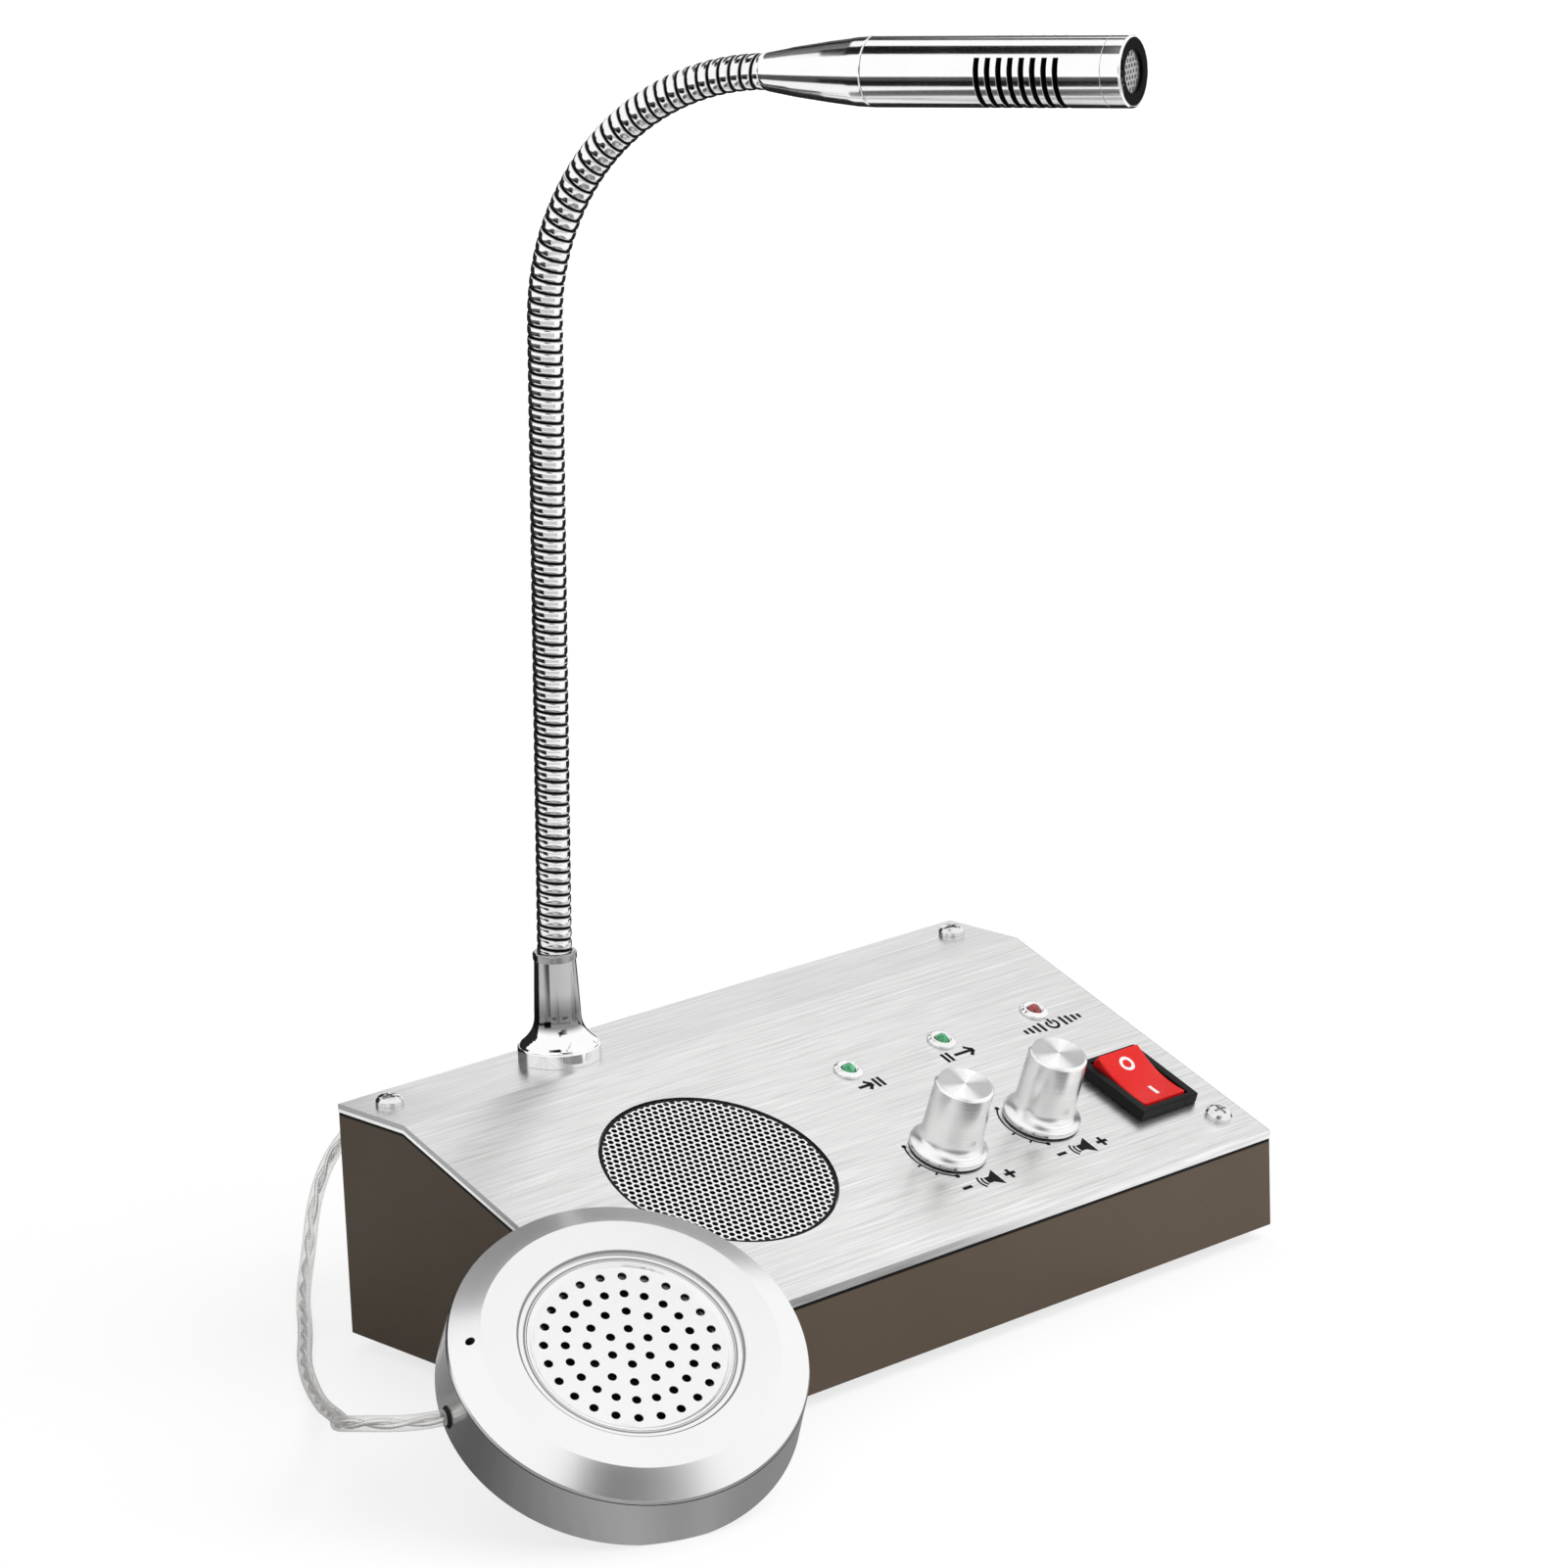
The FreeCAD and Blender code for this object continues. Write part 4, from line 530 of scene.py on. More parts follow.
plasticSet = {
    "switch_black": ("switch_black_nylon", rgb(0.014, 0.014, 0.015), rgb(0.007, 0.007, 0.008),
                     0.38),
    "switch_red": ("switch_red_gloss", rgb(0.86, 0.018, 0.014), rgb(0.68, 0.010, 0.009), 0.26,
                   600, 0.00002, 0.2),
    "component_black": ("component_black_epoxy", rgb(0.04, 0.04, 0.045), rgb(0.02, 0.02, 0.022),
                        0.5),
    "component_sleeve": ("component_sleeve_film", rgb(0.03, 0.05, 0.14), rgb(0.015, 0.03, 0.09),
                         0.3),
    "header_white": ("header_white_nylon", rgb(0.72, 0.70, 0.64), rgb(0.60, 0.58, 0.52), 0.45),
    "foot_rubber": ("foot_rubber_black", rgb(0.028, 0.027, 0.026), rgb(0.014), 0.75, 700),
    # painted shade: the outside speaker's shadow slot, a shaded copy of its silver, takes a
    # near-black finish
    "puck_shadow": ("puck_painted_shade_black", rgb(0.02), rgb(0.01), 0.6),
    "plug_black": ("plug_black_vinyl", rgb(0.024, 0.024, 0.025), rgb(0.012), 0.42, 900),
    "mic_black": ("mic_black_foam", rgb(0.008), rgb(0.003), 0.6, 1600, 0.00006, 0.03),
}


def lampGem(name, bright, deep, glow):
    # a clear coloured lens with darker mottling below its surface
    f = Finish(name)
    depth = f.noise(900, 3)
    dark = f.noise(1500, 2).between(0.50, 0.68)
    colour = f.blend(depth.between(0.35, 0.65), deep, bright)
    colour = f.blend(dark * 0.8, colour, rgb(*(0.12 * c for c in deep[:3])))
    return f.coated(colour, 0.12 + dark * 0.15, normal=f.bump(depth, 0.00012, 0.5), coat=1.0,
                    glow=glow, glowStrength=0.12)


# heights are above the outside speaker's back; a ring of painted shade is a radius and a half width
puckSet = {"light": rgb(0.90), "dark": rgb(0.83), "shade": rgb(0.012), "rough": 0.25,
           "jointAt": 12.72, "faceAt": (14.0, 14.1), "rings": ((22.35, 0.34), (21.0, 0.3))}


def puckSilver(name, holesBelow=None):
    # fine metallic paint with flake and soft blotches, a dark joint where the shells meet, painted
    # shade in the hollows round the dish, and painted shade on the walls inside the holes
    f, s = Finish(name), puckSet
    flake = f.noise(3200, 2)
    soft = f.noise(35, 3)
    across, along, height = f.axes(f.place(at=inPuck()))
    colour = f.blend(flake * 0.5 + soft * 0.5, s["dark"], s["light"])
    if holesBelow is not None:
        # painted shade on the walls inside the holes, below the dish's face
        shade = 1 - height.between((holesBelow - 0.3) * mm, (holesBelow - 0.12) * mm)
    else:
        shade = 1 - (height - s["jointAt"] * mm).absolute().between(0.05 * mm, 0.16 * mm)
        # painted shade in the hollows either side of the ring that holds the dish
        reach = (across * across + along * along) ** 0.5
        face = height.between(*(level * mm for level in s["faceAt"]))
        for radius, width in s["rings"]:
            off = (reach - radius * mm).absolute()
            line = (1 - off.between(0.4 * width * mm, width * mm)) * face
            shade = shade.larger(line * 0.65)
    colour = f.blend(shade, colour, s["shade"])
    return f.coated(colour, s["rough"] + (flake - 0.5) * 0.08 + shade * 0.3, 1.0,
                    f.bump(flake, 0.000006, 0.3))


grilleSet = {"x": -36.9, "down": 40.799, "drop": 0.3, "pitch": 1.7, "hole": 0.60, "holeShade": 0.09,
             "rim": 24.75, "light": rgb(1.0), "dark": rgb(0.90), "shade": rgb(0.010), "rough": 0.30}


def perforatedSteel():
    # satin-plated sheet with a slight rolled grain; its holes stand in a triangular grid, with
    # painted shade round the nearer of two rectangular grids' centres that widens each hole's dark
    f, s = Finish("grille_steel_satin"), grilleSet
    grain = f.noise(1.0, 3, 0.6, (160, 1600, 160), onPanel(0, 0))
    wear = f.noise(140, 3)
    colour = f.blend(grain * 0.6 + wear * 0.4, s["dark"], s["light"])
    x, y, z = f.axes(f.place(at=onPanel(s["x"], s["down"], -s["drop"])))
    wide, tall = s["pitch"] * mm, s["pitch"] * math.sqrt(3) * mm

    def away(shift):
        # distance from the nearest centre of a grid shifted by this share of its steps
        dx = ((x / wide + (shift + 0.5)).fraction() - 0.5) * wide
        dy = ((y / tall + (shift + 0.5)).fraction() - 0.5) * tall
        return (dx * dx + dy * dy) ** 0.5

    nearest = away(0.0).smaller(away(0.5))
    # painted shade round each hole, reaching past the real hole's edge
    paintedHoleShade = 1 - nearest.between((s["hole"] + 0.02) * mm, (s["hole"] + s["holeShade"]) * mm)
    # painted shade in a ring at the rim's gap and on all below the sheet's face
    rim = (x * x + y * y).between((s["rim"] * mm) ** 2, ((s["rim"] + 0.15) * mm) ** 2)
    shade = paintedHoleShade.larger(rim).larger(1 - z.between(-0.25 * mm, -0.05 * mm))
    return f.coated(f.blend(shade, colour, s["shade"]),
                    s["rough"] + (wear - 0.5) * 0.15 + shade * 0.3, 1.0 - shade,
                    f.bump(grain, 0.00003, 0.4), specular=0.1)


def clearSleeve():
    # soft clear vinyl, almost see-through face on and milky brown at its edges
    f = Finish("cable_clear_vinyl")
    facing = f.add("LayerWeight", None, {"Blend": 0.42}, "Facing")
    cloud = f.noise(300, 3)
    edge = facing.between(0.25, 0.95)
    colour = f.blend(edge, rgb(0.99, 0.985, 0.975), rgb(0.87, 0.85, 0.82))
    return f.coated(colour, 0.16 + (cloud - 0.5) * 0.1, normal=f.bump(cloud, 0.00008, 0.3),
                    alpha=0.27 + edge * 0.33 + (cloud - 0.5) * 0.08)


def neckSteel():
    # wound plated wire: bright crowns and dull grooves between them, darkened with painted shade
    f = Finish("neck_wound_steel")
    crown = f.axes(f.add("UVMap"))[1]
    grime = f.noise(500, 3)
    # painted shade in the grooves between the wire's turns
    grooveShade = 1 - crown.between(0.67, 0.94)
    colour = f.blend(grooveShade, f.blend(grime, rgb(0.78), rgb(0.96)), rgb(0.004))
    return f.coated(colour, 0.10 + grooveShade * 0.4 + (grime - 0.5) * 0.08, 1.0)


def printedInk(name, dark, light, scale, rough, **constants):
    # screen-printed ink, slightly uneven in tone
    f = Finish(name)
    wear = f.noise(scale, 3)
    return f.coated(f.blend(wear, dark, light), rough + (wear - 0.5) * 0.2, **constants)


def boardLaminate():
    # solder resist over copper tracks laid out in short runs
    f = Finish("board_green_laminate")
    tracks = f.add("TexBrick", {"offset": 0.37, "squash": 1.6},
                   {"Vector": f.place((260, 260, 260)), "Scale": 1.0, "Mortar Size": 0.06,
                    "Color1": rgb(0.008, 0.075, 0.03), "Color2": rgb(0.012, 0.09, 0.035),
                    "Mortar": rgb(0.03, 0.16, 0.06)})
    cloud = f.noise(120, 3)
    return f.coated(f.blend(cloud * 0.3, tracks, rgb(0.01, 0.10, 0.04)), 0.3 + cloud * 0.15,
                    normal=f.bump(cloud, 0.00005, 0.3), coat=0.3)


def paperCone():
    # pressed paper with short fibres
    f = Finish("paper_cone_pressed")
    fibre = f.noise(1.0, 4, 0.7, (900, 2600, 900))
    return f.coated(f.blend(fibre, rgb(0.018, 0.017, 0.016), rgb(0.06, 0.058, 0.055)), 0.85,
                    normal=f.bump(fibre, 0.0002, 0.6))


finishes = {
    "casing_paint": casingPaint(),
    "panel_aluminium": brushedPanel(),
    "grille_steel": perforatedSteel(),
    "knob_aluminium": turnedAluminium(),
    "bright_chrome": brightChrome("bright_chrome_plate", 0.07, 0.78),
    "board_green": boardLaminate(),
    "lamp_green": lampGem("lamp_green_lens", rgb(0.05, 0.56, 0.20), rgb(0.008, 0.24, 0.08),
                          rgb(0.03, 0.5, 0.18)),
    "lamp_red": lampGem("lamp_red_lens", rgb(0.42, 0.015, 0.015), rgb(0.14, 0.004, 0.004),
                        rgb(0.4, 0.01, 0.01)),
    "paper_cone": paperCone(),
    "puck_silver": puckSilver("puck_silver_satin"),
    "cable_clear": clearSleeve(),
    **{slotName: plainMetal(*row) for slotName, row in metalSet.items()},
    **{slotName: plastic(*row) for slotName, row in plasticSet.items()},
}
# finishes of single pieces
ink = printedInk("printed_ink", rgb(0.004), rgb(0.018), 900, 0.5, specular=0.06)
inkWhite = printedInk("printed_ink_white", rgb(0.80, 0.78, 0.76), rgb(0.95, 0.94, 0.93), 1200, 0.45)
neckWire, socketPlate = neckSteel(), socketChrome()
strandSilver = plainMetal("cable_strand_tinned", rgb(0.98, 0.97, 0.96), rgb(0.80, 0.79, 0.77),
                          0.30, 2400)
meshSteel = plainMetal("mic_mesh_steel", rgb(0.95), rgb(0.04, 0.04, 0.045), 0.35, 1300)
micSilver = brightChrome("mic_silver_plate", 0.12, 0.88)
puckDish = puckSilver("puck_silver_dish", 15.0)
print("finishes made,", len(finishes), "for slots")

# every node takes its slot's finish, and the microphone's mesh a plain bright one, because the
# grille's has painted shade round its holes and below its face
for name, node in frame["nodes"].items():
    for holder in node.material_slots:
        slotName = holder.material.name.split(".")[0]
        holder.material = meshSteel if name == "mic_mesh" else finishes[slotName]

cableSet = {
    "route": [(-138.29, -42.65, 22.54), (-143.94, -40.64, 22.42), (-150.59, -33.15, 22.34),
              (-150.09, -23.05, 19.54), (-139.09, -10.75, 13.34), (-128.19, 6.05, 6.94),
              (-117.9, 25.6, 1.7), (-107.2, 44.7, 1.7), (-93.6, 61.4, 1.7), (-81.8, 78.1, 1.7),
              (-70.6, 90.0, 6.1), (-62.9, 97.4, 14.3), (-57.1, 98.4, 23.2), (-52.6, 93.6, 31.1),
              (-50.0, 85.6, 36.0), (-50.0, 75.8, 36.0)],
    "width": 3.2,
    "length": 220.0,
    "strandWidth": 1.0,
    "strandReach": 0.58,
    "strandStep": 0.9,
    "lay": 17.0,
}


def cableLine(name, depth):
    curve = bpy.data.curves.new(name, "CURVE")
    curve.dimensions = "3D"
    route = np.array(cableSet["route"]) * mm
    spline = curve.splines.new("NURBS")
    spline.points.add(len(route) - 1)
    spline.points.foreach_set("co", np.column_stack([route, np.ones(len(route))]).ravel())
    spline.order_u = 3
    spline.use_endpoint_u = True
    curve.resolution_u = 16
    curve.bevel_depth = depth
    curve.bevel_resolution = 6
    curve.use_fill_caps = depth > 0
    return newPiece(name, curve)


cable = cableLine("speaker_cable_sleeve", cableSet["width"] / 2 * mm)
cable.data.materials.append(finishes["cable_clear"])
bare = cableLine("cable_centre_line", 0)
lineMesh = bpy.data.meshes.new_from_object(bare)
centre = np.zeros(len(lineMesh.vertices) * 3)
lineMesh.vertices.foreach_get("co", centre)
centre = centre.reshape(-1, 3)
bpy.data.objects.remove(bare)


def evenly(points, step):
    # the same line at even steps of its own length
    gone = lengthAt(points)
    at = np.linspace(0, gone[-1], int(gone[-1] / step) + 1)
    return np.stack([np.interp(at, gone, points[:, k]) for k in range(3)], -1), at


def strand(name, turn):
    # a round wire whose centre circles the cable's line once in every lay length
    s = cableSet
    line, gone = evenly(centre, s["strandStep"] * mm)
    along = unit(np.gradient(line, axis=0))
    side = unit(np.cross(along, (0, 0, 1.0)))
    up = np.cross(side, along)
    twist = (2 * np.pi * gone / (s["lay"] * mm) + turn)[:, None]
    wire = line + (side * np.cos(twist) + up * np.sin(twist)) * s["strandReach"] * mm
    angle = (np.arange(10) * 2 * np.pi / 10)[None, :, None]
    radius = s["strandWidth"] / 2 * mm
    grid = wire[:, None] + (side[:, None] * np.cos(angle) + up[:, None] * np.sin(angle)) * radius
    return gridPiece(name, grid, strandSilver, caps=True)


strands = [seated(strand(f"cable_strand_{k + 1}", k * math.pi), "desk_unit", "cable_clear")
           for k in range(2)]
seated(cable, "desk_unit", "cable_clear", "speaker_cable")

# plug behind the unit with a ribbed, tapering strain relief
plugSet = {
    "place": (-50.0, 52.8, 36.0),
    "barrel": [(0, 0), (3.9, 0), (4.0, 0.5), (4.0, 3.0), (3.7, 3.3), (3.7, 12.6), (4.0, 12.9),
               (4.0, 14.2), (3.6, 15.0)],
    "end": [(2.05, 23.0), (0, 23.0)],
    "ribs": 5,
    "ribPitch": 1.5,
    "ribDepth": 0.42,
    "firstRib": (2.62, 15.5),
    "narrowing": 0.09,
}


def linePlug():
    # barrel, then a taper whose radius steps in and out at each rib
    s, ribs = plugSet, np.arange(plugSet["ribs"])
    radius = s["firstRib"][0] - ribs * s["narrowing"]
    start = s["firstRib"][1] + ribs * s["ribPitch"]
    steps = [(0, 0), (0, 0.8), (-s["ribDepth"], 0.95), (-s["ribDepth"], 1.35)]
    taper = np.stack([np.stack([radius + out, start + on], -1) for out, on in steps], 1)
    profile = np.concatenate([s["barrel"], taper.reshape(-1, 2), s["end"]])
    place = moved(*s["place"]) @ Matrix.Rotation(-math.pi / 2, 4, "X")
    return turned("line_plug_moulded", profile, place, finishes["plug_black"], 48, 0.2)


plug = seated(linePlug(), "desk_unit", "plug_black", "line_plug")
print("cable laid")

# CAD parts shown with rounded edges: each one's slot and the width of its edges
sheetEdges = {
    "top_plate": ("panel_aluminium", 0.22), "housing_shell": ("casing_paint", 0.35),
    "bottom_plate": ("casing_paint", 0.25), "rubber_feet": ("foot_rubber", 0.5),
    "switch_housing": ("switch_black", 0.35), "top_screws": ("screw_steel", 0.1),
    "bottom_screws": ("screw_steel", 0.1), "line_socket": ("plug_black", 0.15),
    "power_inlet": ("plug_black", 0.2), "rear_nuts": ("screw_steel", 0.12),
    "puck_front_shell": ("puck_silver", 0.18), "puck_back_shell": ("puck_silver", 0.3),
    "puck_dish": ("puck_silver", 0.07), "mic_end_ring": ("bright_chrome", 0.12),
    "mic_face": ("mic_black", 0.12), "neck_nut": ("screw_steel", 0.15),
    "cable_grommet": ("plug_black", 0.2), "puck_screws": ("screw_steel", 0.1),
}
ownFinish = {"mic_end_ring": micSilver, "puck_dish": puckDish}
for node, (slotName, edge) in sheetEdges.items():
    sharpest = 15.0 if node.startswith("puck_") else 28.0
    dressed(node, ownFinish.get(node, finishes[slotName]), slotName, edge, sharpest)
print("sheet and moulded parts edged,", len(sheetEdges))

knobSet = {"places": {"in_volume": (15.0, 57.0), "out_volume": (43.3, 57.0)},
           "foot": 0.4, "skirt": 8.65, "skirtTop": 1.5, "waist": 6.72, "flare": 6.5, "tip": 6.5,
           "height": 17.3, "round": 0.6, "hollow": (5.6, 5.2)}


def knobProfile():
    # the skirt narrows to the waist with the cube of the height left to the flare's end
    s = knobSet
    height = np.linspace(s["skirtTop"], s["flare"], 12)
    left = (s["flare"] - height) / (s["flare"] - s["skirtTop"])
    flare = np.stack([s["waist"] + (s["skirt"] - s["waist"]) * left ** 3, height], -1)
    bore, depth = s["hollow"]
    foot = [(0, depth), (bore, depth), (bore, s["foot"]), (s["skirt"], s["foot"])]
    top = [(s["tip"], s["height"] - s["round"]), (s["tip"] - s["round"], s["height"]),
           (0, s["height"])]
    return np.concatenate([foot, flare, top])


for body, spot in knobSet["places"].items():
    knob = turned(body + "_turned_knob", knobProfile(), onPanel(*spot),
                  finishes["knob_aluminium"], 128, 0.14)
    seated(knob, body, "knob_aluminium", body + "_knob")
print("knobs turned")

lampSet = {
    "down": 24.8,
    "lamps": {"channel_in": (14.6, "lamp_green"), "channel_out": (42.9, "lamp_green"),
              "power": (71.8, "lamp_red")},
    "bezel": [(1.6, -0.6), (2.5, -0.6), (2.6, 0), (3.3, 0), (3.3, 0.5), (2.6, 1.1), (2.1, 1.1),
              (1.6, 0.55)],
    "lens": [(0, -0.5), (1.5, -0.5), (1.5, 0.6), (1.305, 1.2), (0.75, 1.7), (0, 1.85)],
}
lenses, bezels = {}, []
for name, (x, slotName) in lampSet["lamps"].items():
    place = onPanel(x, lampSet["down"])
    lens = turned(name + "_lens", lampSet["lens"], place, finishes[slotName], 48, 0.3)
    lenses[name] = seated(lens, "desk_unit", slotName)
    bezel = turned(name + "_bezel", lampSet["bezel"], place, finishes["bright_chrome"], 64, 0.2,
                   closed=True)
    bezels.append(seated(bezel, "desk_unit", "bright_chrome"))
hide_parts("led_bezels")
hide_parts("line_lamps")
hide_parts("power_lamp")
print("lamps seated")

# each step of the rounded ends is a share of the half width and how far it is drawn in
rockerSet = {
    "place": (72.8, 57.4, 0.65), "tilt": 8.0, "half": 6.35, "radius": 8.75, "rise": 3.2,
    "dip": 2.0, "foot": ((5.4, -5.4), (-5.4, -5.4)),
    "ends": ((1, 6.0), (1, 0.6), (0.995, 0.4), (0.98, 0.18), (0.955, 0.05), (0.92, 0)),
    "ring": {"y": 4.5, "radius": 1.5, "width": 0.8},
    "bar": {"ends": (-6.1, -3.1), "width": 0.95},
}
rockerPlace = onPanel(*rockerSet["place"]) @ Matrix.Rotation(
    math.radians(rockerSet["tilt"]), 4, "X")
rockerReach = math.sqrt(rockerSet["radius"] ** 2 - rockerSet["rise"] ** 2)


def rockerTop(y):
    # the dished top rises with the square of the distance from the pivot
    return rockerSet["dip"] + (rockerSet["rise"] - rockerSet["dip"]) * (y / rockerReach) ** 2


def rockerPiece():
    # the section, carried across the width and drawn in at both ends for a round edge
    s = rockerSet
    y = np.linspace(-rockerReach, rockerReach, 41)
    top = np.stack([y, rockerTop(y)], -1)
    right = circle(np.radians(np.linspace(20, -26, 9)[1:])) * s["radius"]
    section = np.concatenate([top, right, s["foot"], right[::-1] * (-1, 1)])
    section = softened(section, 0.3, closed=True)[:-1]
    share, inset = np.array(s["ends"]).T
    across = np.concatenate([-share, share[::-1]]) * s["half"]
    inset = np.concatenate([inset, inset[::-1]])[:, None, None]
    middle = np.array([0, -1.0])
    reach = np.linalg.norm(section - middle, axis=1)[None, :, None]
    drawn = middle + (section - middle)[None] * (1 - np.minimum(inset / reach, 0.97))
    sides = np.broadcast_to(across[:, None, None], (*drawn.shape[:2], 1))
    grid = np.concatenate([sides, drawn], -1)
    return gridPiece("power_rocker_dished", carried(grid * mm, rockerPlace),
                     finishes["switch_red"], caps=True)


seated(rockerPiece(), "power_switch", "switch_red", "power_rocker")


def rockerMark(path, width):
    # a flat stroke raised onto the dished top
    grid = ribbon(path, width, Matrix.Identity(4), -0.05, 0.03)
    grid[..., 2] += rockerTop(grid[..., 1] / mm) * mm
    return carried(grid, rockerPlace)


ringMark, barMark = rockerSet["ring"], rockerSet["bar"]
barPath = [(0, y) for y in np.linspace(*barMark["ends"], 4)]
marks = [rockerMark(arc((0, ringMark["y"]), ringMark["radius"], 0, 360, 40), ringMark["width"]),
         rockerMark(barPath, barMark["width"])]
seated(inkPiece("power_rocker_marks", marks, inkWhite), "power_switch", "switch_red")
print("rocker made")

# places are along the panel and down its slope; the scales' ends and ticks are turns
printSet = {
    "label": 0.84, "thin": 0.5, "scale": {"radius": 9.75, "width": 0.42},
    "dot": {"reach": 9.8, "radius": 0.28},
    "scaleEnds": ((150, 240), (135, 236)), "ticks": (191, 214), "tickReach": (9.7, 10.3, 10.9),
    "minus": ((9.3, 69.6), (38.1, 69.3)), "plus": ((21.8, 69.7), (50.0, 69.6)),
    "speakers": ((16.2, 69.5), (44.3, 69.4)),
    "arrowIn": (15.5, 30.9), "arrowOut": (43.35, 30.3), "powerRing": (72.5, 30.4),
    "powerBars": ((3.3, 1.6), (5.0, 1.35), (6.7, 1.05), (8.3, 0.75)),
}


def panelMarks():
    p, flat, strokes = printSet, onPanel(0, 0), []

    def stroke(path, width):
        # down the slope becomes minus Y
        strokes.append(ribbon(np.asarray(path, float) * (1, -1), width, flat))

    def bar(x, down, halfAlong, halfDown, width):
        stroke([(x - halfAlong, down - halfDown), (x, down), (x + halfAlong, down + halfDown)],
               width)

    def sweep(x, down, radius, start, end, width):
        # angles run from +X towards the rear
        strokes.append(ribbon(arc((x, -down), radius, start, end), width, flat))

    # the scale round each knob: its line, a dot at both ends and ticks near the low end
    for (x, down), ends in zip(knobSet["places"].values(), p["scaleEnds"]):
        sweep(x, down, p["scale"]["radius"], *ends, p["scale"]["width"])
        reach, radius = p["dot"].values()
        for angle in np.radians(ends):
            spot = (x + reach * math.cos(angle), down - reach * math.sin(angle))
            sweep(*spot, radius, 0, 360, radius * 2)
        for angle in np.radians(p["ticks"]):
            stroke([(x + reach * math.cos(angle), down - reach * math.sin(angle))
                    for reach in p["tickReach"]], p["thin"])
    for x, down in p["minus"]:
        bar(x, down, 1.3, 0, 0.9)
    for x, down in p["plus"]:
        bar(x, down, 1.5, 0, 0.85)
        bar(x, down, 0, 1.5, 0.85)
    for x, down in p["speakers"]:
        # a small loudspeaker: its magnet, its horn opening to the right, two sound arcs left
        bar(x - 0.4, down, 0.8, 0, 2.0)
        stroke([(x + 0.3, down), (x + 1.4, down), (x + 2.4, down)], [2.0, 3.8, 5.3])
        sweep(x - 0.2, down, 1.85, 138, 222, p["thin"])
        sweep(x - 0.2, down, 2.85, 142, 218, p["thin"])
    # an arrow into two bars
    wide = p["label"]
    x, down = p["arrowIn"]
    bar(x - 1.2, down, 1.9, 0, wide)
    for side in (-1, 1):
        stroke([(x - 0.7, down + side * 1.5), (x + 0.1, down + side * 0.7), (x + 0.9, down)], wide)
    for reach in (2.1, 3.5):
        bar(x + reach, down, 0, 1.6, wide)
    # an arrow out of two bars
    x, down = p["arrowOut"]
    for reach in (-4.3, -2.9):
        bar(x + reach, down, 0, 1.6, wide)
    bar(x + 1.25, down, 2.75, 0, wide)
    for side in (-1, 1):
        stroke([(x + 2.5, down + side * 1.6), (x + 3.4, down + side * 0.75), (x + 4.3, down)], wide)
    # a ring with a bar, between two rows of shortening bars
    x, down = p["powerRing"]
    sweep(x, down, 1.45, -235, 55, 0.7)
    bar(x, down - 1.1, 0, 1.0, 0.7)
    for side in (-1, 1):
        for reach, half in p["powerBars"]:
            bar(x + side * reach, down, 0, half, wide)
    return strokes


seated(inkPiece("panel_printed_marks", panelMarks(), ink), "desk_unit", "component_black")
print("marks printed")

neckSet = {"radius": 3.75, "depth": 0.55, "pitch": 2.5, "start": 136.8, "lean": 2.2, "bend": 55.4,
           "tilt": 88.6, "stub": 12.0, "step": 34.72, "foot": 78.297, "links": 6, "rows": 12,
           "around": 32, "flatness": 3.2, "blendShare": 0.4, "footBlend": 10.5}
swing = math.radians(layout["neckTurn"])
reachOut = np.array([math.sin(swing), -math.cos(swing), 0.0])
sideways = np.array([math.cos(swing), math.sin(swing), 0.0])
upwards = np.array([0.0, 0.0, 1.0])
neckLength = neckSet["start"] + neckSet["bend"] * math.radians(neckSet["tilt"] - neckSet["lean"])


def neckLine(gone):
    # straight and leaning, then an arc that turns at an even rate to the microphone's tilt
    s, gone = neckSet, np.asarray(gone, float)
    lean = math.radians(s["lean"])
    straight = np.minimum(gone, s["start"])
    angle = lean + np.maximum(gone - s["start"], 0) / s["bend"]
    out = straight * math.sin(lean) + s["bend"] * (math.cos(lean) - np.cos(angle))
    rise = straight * math.cos(lean) + s["bend"] * (np.sin(angle) - math.sin(lean))
    foot = np.array([*layout["neckFoot"], s["foot"]])
    point = foot + out[..., None] * reachOut + rise[..., None] * upwards
    along = np.sin(angle)[..., None] * reachOut + np.cos(angle)[..., None] * upwards
    return point, along


def neckPiece(name, start, end):
    # the radius follows a row of flat-topped crowns, one a pitch, wound as a helix
    s = neckSet
    gone = np.linspace(start, end, int((end - start) / s["pitch"] * s["rows"]) + 1)
    angle = np.arange(s["around"] + 1) * 2 * np.pi / s["around"]
    phase = (gone[:, None] / s["pitch"] + angle[None] / (2 * np.pi)) % 1
    crown = np.sqrt(1 - np.abs(2 * phase - 1) ** s["flatness"] * 0.995)
    radius = s["radius"] - s["depth"] * (1 - crown)
    point, along = neckLine(gone)
    normal = np.cross(along, sideways)[:, None]
    turn = angle[None, :, None]
    grid = point[:, None] + (sideways * np.cos(turn) + normal * np.sin(turn)) * radius[..., None]
    uv = np.stack([np.broadcast_to(angle / (2 * np.pi), crown.shape), crown], -1)
    return gridPiece(name, grid[:, :-1] * mm, neckWire, caps=True, uv=uv)


def neckEnd(k):
    # the middle of link k, where one blended piece hands over to the next
    if k in (0, neckSet["links"]):
        return neckLength if k else 0.0
    return neckSet["stub"] + (k - 0.5) * neckSet["step"]


bodies = ["desk_unit"] + [f"neck_{k + 1}" for k in range(neckSet["links"])]
for k in range(1, len(bodies)):
    piece = neckPiece(f"neck_coil_{k}", neckEnd(k - 1), neckEnd(k))
    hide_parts(f"neck_link_{k}", *(["neck_stub"] if k == 1 else []))
    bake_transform(piece)
print("neck wound")

